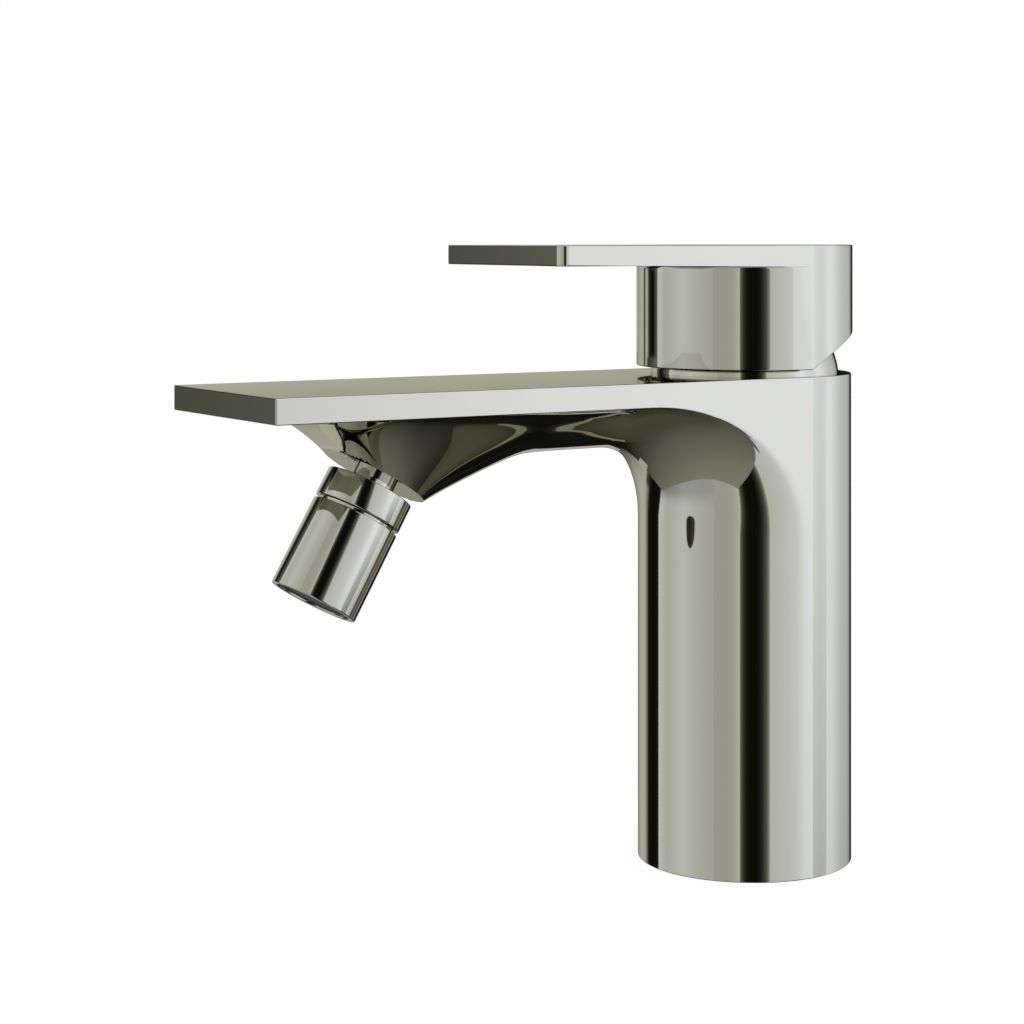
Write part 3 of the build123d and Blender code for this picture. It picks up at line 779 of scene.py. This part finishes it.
@dataclass
class Collar:
    """The rounded dome cap between the body and the lever. Sizes in millimetres.

    Attributes:
        height: The height of its foot.
        outline: Radius and height over the foot of its corners, up the outside and down the inside.
        crown_pull: How far the crown's curve goes on straight from the side, as a share of its length.
        bow_steps: The number of steps in each of its two curves.
        sharp: The angle past which an edge stays sharp, in degrees.
    """

    height: float = 109.24
    outline: tuple[tuple[float, float], ...] = (
        (21.15, 0.0), (20.87, 2.03), (20.3, 4.06), (19.55, 5.5), (17.9, 6.66), (13.2, 7.9),
        (13.2, 6.4), (17.15, 5.16), (18.8, 3.31), (19.65, 0.0), (19.65, -0.95), (20.4, -0.95), (20.4, 0.0))
    crown_pull: float = 0.55
    bow_steps: int = 12
    sharp: float = 32.0

    def build(self) -> bpy.types.Object:
        """Builds the collar and hides its plain solid.

        Returns:
            The collar.
        """
        up, over_floor = Vector((0, 0, 1)), Vector((0, 0, self.height * MM))
        foot, waist, shoulder = (Vector(p) for p in self.outline[:3])
        rim = Vector(self.outline[4])
        side = bent(foot, waist * 2 - (foot + shoulder) / 2, shoulder, self.bow_steps)
        pull = shoulder + (shoulder - waist).normalized() * (rim - shoulder).length * self.crown_pull
        crown = bent(shoulder, pull, rim, self.bow_steps)[1:]
        outline = [tuple(p) for p in side + crown] + list(self.outline[5:])
        made = turned("collar", [(r * MM, z * MM) for r, z in outline], over_floor, up)
        clean(made, TURNED_MERGE, self.sharp)
        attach(made, Body.TAP.value)
        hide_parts("dome_cap")
        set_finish(made, Slot.TRIM.value)
        return made


@dataclass
class Nozzle:
    """The ball-jointed nozzle: stud, ring nut, housing, aerator ring and mesh. Sizes in millimetres.

    Places along the nozzle are distances under the ball's centre.

    Attributes:
        tilt: The nozzle's tilt, in degrees.
        ball: The place of the ball's centre along Y, and its height.
        ball_radius: The ball's radius.
        ball_foot: Where the ball is cut flat.
        ball_points: The number of points down the ball.
        neck: The neck's radius where the ball starts.
        stud_bore: The radius of the stud's waterway.
        stud_root: Radius and place of the corners of the stud's root and neck.
        radius: The nozzle's outer radius.
        ring_up: How far above the ball's centre the ring nut starts.
        ring_down: Where the ring nut's outside ends.
        ring_mouth: The radius of the ring nut's mouth.
        ring_seat: Radius and place of the corners of its inside, from its foot up.
        groove: The gap between the ring nut and the housing.
        end: Where the housing ends.
        skirt: The radius of the ring nut's part inside the housing.
        play: How much looser a piece is than the one inside it.
        shelf: Where the housing's inner shelf starts and ends.
        shelf_bore: The radius of the hole in that shelf.
        bore: The radius of the housing's bore.
        insert_bore: The radius of the aerator ring's bore.
        insert_web: Where the aerator ring's web starts and ends.
        web_bore: The radius of the hole in that web.
        inset: How far the aerator ring stands back from the housing's end.
        edge: The rounding of the corners.
        mesh_pitch: The distance between the mesh's wires.
        mesh_wire: A wire's radius.
        mesh_in: How far the mesh stands back from the housing's end.
        wire_sides: The number of a wire's sides.
        sharp: The angle past which an edge stays sharp on the turned rings, in degrees.
        stud_sharp: The same on the stud.
        wire_sharp: The same on the wires.
    """

    tilt: float = 30.05
    ball: tuple[float, float] = (-98.8236, 83.4167)
    ball_radius: float = 6.2
    ball_foot: float = 5.0
    ball_points: int = 40
    neck: float = 3.7
    stud_bore: float = 2.0
    stud_root: tuple[tuple[float, float], ...] = (
        (2.0, -15.7), (4.85, -15.7), (4.85, -8.2), (4.65, -8.2), (4.65, -6.2), (3.7, -5.6))
    radius: float = 9.34
    ring_up: float = 5.9
    ring_down: float = 0.15
    ring_mouth: float = 6.5
    ring_seat: tuple[tuple[float, float], ...] = ((7.25, 5.9), (7.25, 0.0), (6.9, -2.2), (6.0, -4.0))
    groove: float = 0.8
    end: float = 20.2
    skirt: float = 8.1
    play: float = 0.05
    shelf: tuple[float, float] = (6.5, 7.9)
    shelf_bore: float = 4.0
    bore: float = 8.1
    insert_bore: float = 6.95
    insert_web: tuple[float, float] = (9.4, 10.4)
    web_bore: float = 5.6
    inset: float = 0.4
    edge: float = 0.25
    mesh_pitch: float = 0.9
    mesh_wire: float = 0.17
    mesh_in: float = 0.9
    wire_sides: int = 6
    sharp: float = 50.0
    stud_sharp: float = 32.0
    wire_sharp: float = 70.0

    @property
    def centre(self) -> Vector:
        """The ball's centre, in metres."""
        return Vector((0, self.ball[0] * MM, self.ball[1] * MM))

    @property
    def down(self) -> Vector:
        """The nozzle's axis, towards its outlet."""
        angle = math.radians(self.tilt)
        return Vector((0, -math.sin(angle), -math.cos(angle)))

    def turn(self, name: str, outline: list[tuple[float, float]]) -> bpy.types.Object:
        """Turns one outline on the nozzle's axis, with its corners rounded.

        Args:
            name: The piece's name.
            outline: Radius and distance below the ball's centre of each corner, in millimetres.

        Returns:
            The piece.
        """
        soft = [(r * MM, s * MM) for r, s in rounded(outline, self.edge)]
        made = turned(name, soft, self.centre, self.down)
        clean(made, TURNED_MERGE, self.sharp)
        return made

    def stud(self) -> bpy.types.Object:
        """Builds the stud's root, neck and ball.

        Returns:
            The stud.
        """
        start = math.asin(self.neck / self.ball_radius)
        stop = math.pi - math.acos(self.ball_foot / self.ball_radius)
        bow = [(self.ball_radius * math.sin(t), -self.ball_radius * math.cos(t))
               for t in np.linspace(start, stop, self.ball_points)]
        outline = [*self.stud_root, *bow, (self.stud_bore, self.ball_foot)]
        made = turned("stud", [(r * MM, s * MM) for r, s in outline], self.centre, self.down)
        clean(made, TURNED_MERGE, self.stud_sharp)
        return made

    def screen(self) -> bpy.types.Object:
        """Builds the fine woven mesh of the outlet, from wires that cross over each other.

        Returns:
            The mesh.
        """
        reach = self.insert_bore
        side = Vector((1, 0, 0))
        across = self.down.cross(side)
        level = self.centre + self.down * (self.end - self.mesh_in) * MM
        wires = []
        count = int(reach / self.mesh_pitch)
        for k in range(-count, count + 1):
            off = k * self.mesh_pitch
            half = math.sqrt(reach ** 2 - off ** 2)
            for first, second, lift in ((side, across, 0.5), (across, side, -0.5)):
                middle = level + first * off * MM + self.down * lift * self.mesh_wire * MM
                wires.append(drum("wire", self.mesh_wire * MM, middle - second * half * MM,
                                  middle + second * half * MM, self.wire_sides))
        deselect()
        for wire in wires:
            wire.select_set(True)
        bpy.context.view_layer.objects.active = wires[0]
        bpy.ops.object.join()
        made = bpy.context.object
        made.name = "outlet_mesh"
        bpy.ops.object.shade_smooth_by_angle(angle=math.radians(self.wire_sharp))
        return made

    def build(self) -> list[bpy.types.Object]:
        """Builds the nozzle's visible pieces and hides their plain solids.

        Returns:
            The pieces, from the stud down to the mesh.
        """
        r, up, low, skirt = self.radius, self.ring_up, self.ring_down, self.skirt
        ring = self.turn("ring", [(self.ring_mouth, -up), (r, -up), (r, low), (skirt, low),
                                  (skirt, self.ring_seat[0][1]), *self.ring_seat])
        start, loose, (shelf, shelf_foot) = low + self.groove, skirt + self.play, self.shelf
        tube = self.turn("tube", [(loose, start), (r, start), (r, self.end), (self.bore, self.end),
                                  (self.bore, shelf_foot), (self.shelf_bore, shelf_foot),
                                  (self.shelf_bore, shelf), (loose, shelf)])
        outer, foot, (web, web_foot) = self.bore - self.play, self.end - self.inset, self.insert_web
        lip = self.turn("aerator_ring", [(self.web_bore, web), (outer, web), (outer, foot),
                                         (self.insert_bore, foot), (self.insert_bore, web_foot),
                                         (self.web_bore, web_foot)])
        stud, screen = self.stud(), self.screen()
        pieces = []
        for piece, body, cad, slot in (
                (stud, Body.TAP, "ball_stud", Slot.TRIM), (ring, Body.NOZZLE, "ring_nut", Slot.TRIM),
                (tube, Body.NOZZLE, "nozzle_housing", Slot.TRIM),
                (lip, Body.NOZZLE, "aerator_insert", Slot.BLACK),
                (screen, Body.NOZZLE, "aerator_screen", Slot.MESH)):
            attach(piece, body.value)
            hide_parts(cad)
            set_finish(piece, slot.value)
            pieces.append(piece)
        return pieces


@dataclass(frozen=True)
class PolishedNickel:
    """Nickel plating on brass, mirror-polished on a buffing wheel.

    The eye sees a slightly warm, dark-and-light mirror. Its images are sharp, and soften a little from
    place to place, where the wheel left the faintest haze.

    Attributes:
        tint: The metal's colour.
        roughness: Its least and its most roughness.
        haze_size: How wide a patch of haze is, in millimetres: a buffing wheel's track.
        haze_detail: How many finer haze patterns lie in it.
        haze_mix: How strong each finer one is.
        haze_span: The part of the pattern's range that takes the roughness from least to most.
    """

    tint: str = "A19D89"
    roughness: tuple[float, float] = (0.018, 0.045)
    haze_size: float = 18.0
    haze_detail: float = 3.0
    haze_mix: float = 0.55
    haze_span: tuple[float, float] = (0.3, 0.7)

    def make(self, name: str) -> bpy.types.Material:
        """Makes the metal.

        Args:
            name: The material's name.

        Returns:
            The material.
        """
        made, tree = blank(name)
        place_of = node(tree, "TexCoord")
        haze = node(tree, "TexNoise", links={"Vector": place_of.outputs["Object"]},
                    Scale=1 / (self.haze_size * MM), Detail=self.haze_detail, Roughness=self.haze_mix)
        spread = node(tree, "MapRange", links={"Value": haze.outputs["Fac"]},
                      From_Min=self.haze_span[0], From_Max=self.haze_span[1],
                      To_Min=self.roughness[0], To_Max=self.roughness[1])
        shader = node(tree, "BsdfPrincipled", links={"Roughness": spread.outputs["Result"]},
                      Base_Color=colour(self.tint), Metallic=1.0)
        node(tree, "OutputMaterial", links={"Surface": shader.outputs["BSDF"]})
        return made


@dataclass(frozen=True)
class Plain:
    """A moulded, turned or ground surface, with a fine grain in its colour and height.

    Attributes:
        tint: Its colour on the grain's high places.
        dark: Its colour in the low ones.
        roughness: Its roughness.
        metallic: One for a metal.
        grain: The grain's size, in millimetres.
        bump: How strongly the grain tilts the surface.
        detail: How many finer grains lie in it.
        relief: How high the grain stands, in millimetres.
    """

    tint: str
    dark: str
    roughness: float
    metallic: float = 0.0
    grain: float = 0.4
    bump: float = 0.1
    detail: float = 4.0
    relief: float = 0.05

    def make(self, name: str) -> bpy.types.Material:
        """Makes the material.

        Args:
            name: The material's name.

        Returns:
            The material.
        """
        made, tree = blank(name)
        place_of = node(tree, "TexCoord")
        grain = node(tree, "TexNoise", links={"Vector": place_of.outputs["Object"]},
                     Scale=1 / (self.grain * MM), Detail=self.detail)
        mix = node(tree, "Mix", {"data_type": "RGBA"}, {"Factor": grain.outputs["Fac"]})
        mix.inputs[6].default_value, mix.inputs[7].default_value = colour(self.dark), colour(self.tint)
        bump = node(tree, "Bump", links={"Height": grain.outputs["Fac"]}, Strength=self.bump,
                    Distance=self.relief * MM)
        shader = node(tree, "BsdfPrincipled",
                      links={"Base Color": mix.outputs[2], "Normal": bump.outputs["Normal"]},
                      Roughness=self.roughness, Metallic=self.metallic)
        node(tree, "OutputMaterial", links={"Surface": shader.outputs["BSDF"]})
        return made


@dataclass(frozen=True)
class Card:
    """A bent card round the part, seen by mirror rays alone.

    Attributes:
        name: The card's name.
        start: The azimuth of its first edge, in degrees from +X towards +Y.
        end: The azimuth of its other edge.
        levels: Its brightness from the first edge to the other, at even steps.
        low: The elevation of its foot, in degrees.
        high: The elevation of its top.
        feet: How much of its brightness is left at the foot of its two edges.
        fade: The elevations between which it goes from its foot's brightness to its full one.
        tint: A tint over its daylight.
        distance: How far it stands from the part, in metres.
    """

    name: str
    start: float
    end: float
    levels: tuple[float, ...]
    low: float = -47.0
    high: float = 75.0
    feet: tuple[float, float] = (1.0, 1.0)
    fade: tuple[float, float] = (-41.5, -12.0)
    tint: str = "FFFFFF"
    distance: float = 2.0

    def rise(self, elevation: float) -> float:
        """Gives the height of an elevation on the card."""
        return math.tan(math.radians(elevation)) * self.distance

    def build(self) -> bpy.types.Object:
        """Stands the card round the part.

        Returns:
            The card.
        """
        turns = np.radians(np.linspace(self.start, self.end, CARD_STEPS + 1))
        rows = self.rise(self.low), self.rise(self.high)
        points = [(self.distance * math.cos(t), self.distance * math.sin(t), z) for z in rows for t in turns]
        count = len(turns)
        faces = [(i, i + 1, count + i + 1, count + i) for i in range(CARD_STEPS)]
        made = fresh(self.name, points, [], faces)
        layout = made.data.uv_layers.new(name="spread")
        for loop in made.data.loops:
            layout.data[loop.index].uv = (loop.vertex_index % count / CARD_STEPS, loop.vertex_index // count)
        self.dress(made)
        return made

    def dress(self, card: bpy.types.Object) -> None:
        """Gives the card its light along and up, and hides it from all but mirror rays.

        Args:
            card: The card.
        """
        made, tree = blank(self.name)
        spread = node(tree, "UVMap", {"uv_map": "spread"})
        share = node(tree, "SeparateXYZ", links={"Vector": spread.outputs["UV"]})
        ramp, glow = daylight(tree, share.outputs["X"], self.levels, self.tint)
        foot = node(tree, "MapRange", links={"Value": share.outputs["X"]}, To_Min=self.feet[0] * glow,
                    To_Max=self.feet[1] * glow)
        start, full = ((self.rise(e) - self.rise(self.low)) / (self.rise(self.high) - self.rise(self.low))
                       for e in self.fade)
        level = node(tree, "MapRange", {"interpolation_type": "SMOOTHSTEP"},
                     {"Value": share.outputs["Y"], "To Min": foot.outputs["Result"]},
                     From_Min=start, From_Max=full, To_Max=glow)
        light = node(tree, "Emission",
                     links={"Color": ramp.outputs["Color"], "Strength": level.outputs["Result"]})
        node(tree, "OutputMaterial", links={"Surface": light.outputs["Emission"]})
        card.data.materials.append(made)
        mirror_only(card)


def daylight(tree: bpy.types.NodeTree, share: bpy.types.NodeSocket, levels: tuple[float, ...],
             tint: str) -> tuple[bpy.types.Node, float]:
    """Makes the ramp of a studio surface: the brighter it is, the bluer is its light.

    Args:
        tree: The material's nodes.
        share: The place along the surface, from 0 to 1.
        levels: The brightness at even steps.
        tint: A tint over the whole.

    Returns:
        The ramp, and the strength that its colours are meant for.
    """
    ramp = node(tree, "ValToRGB", links={"Fac": share})
    stops = ramp.color_ramp.elements
    while len(stops) < len(levels):
        stops.new(0.5)
    glow = (1 + BLUEST) * max(levels)
    for k, (stop, level) in enumerate(zip(stops, levels)):
        blue = 1 + min(max(BLUE_RISE * (level - BLUE_FROM), 0), BLUEST)
        shares = (1.0, GREEN_SHARE, blue)
        stop.position = k / (len(levels) - 1)
        stop.color = tuple(level * part / glow * cast for part, cast in zip(shares, colour(tint))) + (1.0,)
    return ramp, glow


def mirror_only(card: bpy.types.Object) -> None:
    """Hides a studio card from all but mirror rays.

    Args:
        card: The card or deck.
    """
    card.visible_camera = card.visible_diffuse = card.visible_shadow = False
    card.visible_transmission = card.visible_volume_scatter = False


@dataclass
class Studio:
    """The pale floor, the white surround, the cards that the metal mirrors, and the camera.

    Attributes:
        floor_tone: The floor's colour.
        floor_size: Its side, in metres.
        floor_roughness: Its roughness.
        floor_glow: The brightness of the plain white that the camera sees over it.
        floor_white: The share of that white. The rest is the lit floor, with its soft shadow.
        surround: The surround's brightness as a light. The camera and the mirrored rays see white.
        cards: The cards, named for where they stand and what they do.
        deck_drop: How far the mirrored deck lies under the part, in metres.
        deck_half: Half its sides, in metres.
        deck_bearing: Where it gets brighter, in degrees from +X towards +Y.
        deck_spread: How far out its first and last brightness lie, as a share of its drop.
        deck_levels: Its brightness, at even steps.
        lens: The lens, in millimetres.
        sensor: The sensor's width, in millimetres.
        clip: The nearest and the farthest that the camera sees, in metres.
        shift: The camera's shift, as a share of the picture's width.
        station: The camera's place, in metres.
        bearing: Where it looks, in degrees from +Y towards -X.
    """

    floor_tone: str = "F4F4F2"
    floor_size: float = 8.0
    floor_roughness: float = 0.9
    floor_glow: float = 1.02
    floor_white: float = 0.93
    surround: float = 0.9
    cards: tuple[Card, ...] = (
        Card("back wall", 150.0, 188.0, (0.1, 0.28, 0.5, 0.68, 0.82, 0.87), tint="FFF7E7"),
        Card("back wall top", 140.0, 162.0, (0.2, 0.22), low=0.5, feet=(2.1, 2.4), fade=(6.3, 9.0),
             tint="FFF7E7", distance=1.96),
        Card("back wall foot", 172.0, 188.0, (0.8, 0.9), high=-33.0, tint="FFF7E7", distance=1.0),
        Card("left edge", 188.0, 197.0, (0.85, 0.45, 0.05), high=-2.5, feet=(0.2, 0.2), fade=(-28.0, -20.0)),
        Card("left flag", 197.0, 218.3, (0.03, 0.01, 0.01, 0.01, 0.01, 0.06), high=-2.5),
        Card("left strip", 188.0, 193.0, (0.45, 0.05, 0.3), low=-2.5),
        Card("left slit", 193.0, 197.0, (0.7, 1.1), low=-2.5, high=3.0),
        Card("left middle", 197.0, 218.3, (0.9, 0.45, 0.12, 0.04, 0.02, 0.01, 0.01, 0.02, 0.12, 0.21, 0.3),
             low=0.3, high=3.0),
        Card("left lower middle", 197.0, 218.3, (0.1, 0.1, 0.12, 0.14, 0.2, 0.25, 0.3, 0.33),
             low=-2.5, high=0.3),
        Card("left flag top", 193.0, 218.3, (0.09, 0.02, 0.02, 0.05, 0.1, 0.18, 0.26, 0.32), low=3.0),
        Card("front wall", 218.3, 290.0, (1.33, 1.1, 1.17, 1.28, 1.17, 1.05, 0.98), feet=(0.45, 0.8),
             fade=(-34.0, -16.0)),
        Card("front screen", 290.0, 318.5, (0.86, 0.85, 0.85, 0.9, 1.13)),
        Card("front flag", 318.5, 350.0, (0.35, 0.09, 0.02, 0.01, 0.01, 0.01, 0.01, 0.03, 0.09, 0.22, 0.7)),
        Card("lit wall", 350.0, 401.0, (1.18, 1.3, 1.38, 1.55, 1.95, 2.05), feet=(1.0, 0.8),
             fade=(-24.0, 0.0)),
        Card("low flag", 369.0, 381.0, (0.33, 0.26), high=-32.0, distance=1.96),
        Card("low flag side", 381.0, 390.0, (0.24, 0.2), high=-25.0, distance=1.96),
        Card("right screen", 401.0, 421.0, (2.05, 1.9, 1.95), feet=(0.3, 0.3), fade=(-32.0, 5.0),
             tint="F2FAF2"),
        Card("right wall", 421.0, 475.0, (1.95, 1.85, 1.55, 1.26, 1.08, 0.9, 0.55), feet=(0.65, 0.65),
             fade=(-30.0, 0.0)),
        Card("back flag", 475.0, 510.0, (0.4, 0.02, 0.01, 0.01, 0.01, 0.05)),
        Card("back foot", 472.0, 506.0, (0.02, 0.02), high=-34.0, distance=1.96),
        Card("back lamp", 501.0, 511.0, (0.7, 0.6), low=-27.0, high=-13.0, tint="FFF7E7", distance=1.95),
    )
    deck_drop: float = 1.15
    deck_half: tuple[float, float] = (1.44, 1.3)
    deck_bearing: float = -70.0
    deck_spread: float = 1.2
    deck_levels: tuple[float, ...] = (0.01, 0.02, 0.1, 0.23, 0.34, 0.45, 0.5)
    lens: float = 83.4
    sensor: float = 36.0
    clip: tuple[float, float] = (0.01, 50.0)
    shift: tuple[float, float] = (-0.001, -0.2706)
    station: tuple[float, float, float] = (0.42981, -0.32611, 0.14022)
    bearing: float = 58.373

    def deck(self) -> bpy.types.Object:
        """Lays the dark deck that the undersides mirror, darkest away from the camera.

        Returns:
            The deck.
        """
        deselect()
        bpy.ops.mesh.primitive_plane_add(size=2, location=(0, 0, -self.deck_drop))
        made = bpy.context.object
        made.name = "deck"
        made.scale = (*self.deck_half, 1)
        finish, tree = blank("deck")
        bearing = math.radians(self.deck_bearing)
        place_of = node(tree, "NewGeometry")
        along = node(tree, "VectorMath", {"operation": "DOT_PRODUCT"},
                     {"Vector": place_of.outputs["Position"]})
        along.inputs[1].default_value = (math.cos(bearing), math.sin(bearing), 0)
        reach = self.deck_spread * self.deck_drop
        share = node(tree, "MapRange", links={"Value": along.outputs["Value"]},
                     From_Min=-reach, From_Max=reach)
        ramp, glow = daylight(tree, share.outputs["Result"], self.deck_levels, "FFFFFF")
        light = node(tree, "Emission", links={"Color": ramp.outputs["Color"]}, Strength=glow)
        node(tree, "OutputMaterial", links={"Surface": light.outputs["Emission"]})
        made.data.materials.append(finish)
        mirror_only(made)
        return made

    def world(self) -> None:
        """Makes the surround white to the camera, to mirror rays and to rays through glass.

        All other rays see it as a soft grey light.
        """
        made = bpy.data.worlds.new("surround")
        bpy.context.scene.world = made
        made.use_nodes = True
        tree = made.node_tree
        tree.nodes.clear()
        path = node(tree, "LightPath")
        seen = node(tree, "Math", {"operation": "MAXIMUM"})
        clear = node(tree, "Math", {"operation": "MAXIMUM"})
        tree.links.new(path.outputs["Is Camera Ray"], seen.inputs[0])
        tree.links.new(path.outputs["Is Glossy Ray"], seen.inputs[1])
        tree.links.new(seen.outputs[0], clear.inputs[0])
        tree.links.new(path.outputs["Is Transmission Ray"], clear.inputs[1])
        strength = node(tree, "MapRange", links={"Value": clear.outputs[0]},
                        To_Min=self.surround, To_Max=1.0)
        light = node(tree, "Background", links={"Strength": strength.outputs["Result"]}, Color=(1, 1, 1, 1))
        node(tree, "OutputWorld", links={"Surface": light.outputs["Background"]})

    def floor(self) -> None:
        """Lays the pale floor, which keeps a soft shadow and fades to white for the camera."""
        deselect()
        bpy.ops.mesh.primitive_plane_add(size=self.floor_size, location=(0, 0, 0))
        made = bpy.context.object
        made.name = "floor"
        finish, tree = blank("pale floor")
        shader = node(tree, "BsdfPrincipled", Base_Color=colour(self.floor_tone),
                      Roughness=self.floor_roughness)
        path = node(tree, "LightPath")
        white = node(tree, "Emission", Color=(1, 1, 1, 1), Strength=self.floor_glow)
        share = node(tree, "Math", {"operation": "MULTIPLY"})
        tree.links.new(path.outputs["Is Camera Ray"], share.inputs[0])
        share.inputs[1].default_value = self.floor_white
        mix = node(tree, "MixShader", links={"Fac": share.outputs[0]})
        tree.links.new(shader.outputs["BSDF"], mix.inputs[1])
        tree.links.new(white.outputs["Emission"], mix.inputs[2])
        node(tree, "OutputMaterial", links={"Surface": mix.outputs["Shader"]})
        made.data.materials.append(finish)
        made.visible_glossy = False

    def camera(self) -> None:
        """Sets the camera at the photograph's level view."""
        made = bpy.data.cameras.new("camera")
        made.lens, made.sensor_width = self.lens, self.sensor
        made.shift_x, made.shift_y = self.shift
        made.clip_start, made.clip_end = self.clip
        holder = bpy.data.objects.new("camera", made)
        holder.location = self.station
        holder.rotation_euler = (math.pi / 2, 0, math.radians(self.bearing))
        bpy.context.collection.objects.link(holder)
        bpy.context.scene.camera = holder

    def build(self) -> None:
        """Builds the studio, with the colours shown as they are."""
        self.world()
        self.floor()
        self.deck()
        for card in self.cards:
            card.build()
        self.camera()
        bpy.context.scene.view_settings.view_transform = "Standard"


CAD_FINISHES: dict[str, Plain] = {
    # Machined brass: the cutter's fine marks make its yellow soft and satiny.
    "brass_core": Plain("C9A45C", "B08A45", 0.32, 1.0, 0.6, 0.12),
    # Drawn stainless steel: an even grey with a blurred shine.
    "steel_pin": Plain("9A9A9C", "808082", 0.35, 1.0, 0.3, 0.1),
    # Lapped alumina: a warm white, close and almost shiny.
    "ceramic_disc": Plain("EFEDE6", "E4E1D8", 0.25, 0.0, 0.5, 0.02),
    # Moulded grey polyacetal: waxy, with a wide soft shine.
    "grey_plastic": Plain("9A9C9F", "8E9093", 0.45, 0.0, 0.5, 0.06),
    # Moulded black polyacetal, satin: nearly black, with a pale edge where it catches the light.
    "black_plastic": Plain("1E1E1F", "161617", 0.4, 0.0, 0.35, 0.1),
    # Moulded white polyacetal: milky and smooth.
    "white_plastic": Plain("E6E6E1", "DADAD4", 0.42, 0.0, 0.5, 0.05),
    # Fine outlet mesh: a dull grey that glints only on the crests of its wires.
    "grey_mesh": Plain("5A5A5E", "47474B", 0.5, 0.2, 0.2, 0.1),
    # Moulded rubber: black and matt, without a clear shine.
    "black_rubber": Plain("19191A", "101011", 0.75, 0.0, 0.25, 0.2),
}


def dress(record: dict, nodes: dict[str, bpy.types.Object]) -> dict[str, bpy.types.Material]:
    """Gives every CAD node the finish of its slot.

    Args:
        record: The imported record.
        nodes: The CAD nodes by name.

    Returns:
        The materials by slot.
    """
    metal = PolishedNickel()
    made = {slot: metal.make(slot) for slot in (Slot.CASTING.value, Slot.TRIM.value)}
    made |= {slot: finish.make(slot) for slot, finish in CAD_FINISHES.items()}
    for row in record["subparts"]:
        mesh = nodes[row["node"]].data
        mesh.materials.clear()
        mesh.materials.append(made[row["material_slot"]])
    return made


def main() -> None:
    """Builds the mixer's pieces, dresses them and sets up the studio."""
    logging.basicConfig(level=logging.INFO, format="%(name)s: %(message)s")
    finishes = dress(frame["record"], frame["nodes"])
    pieces = [Casting().build(), Lever().build(), Collar().build(), *Nozzle().build()]
    for piece in pieces:
        piece.data.materials.clear()
        piece.data.materials.append(finishes[piece["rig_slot"]])
        log.info("%s: %d faces", piece.name, len(piece.data.polygons))
    Studio().build()


if __name__ == "__main__":
    main()
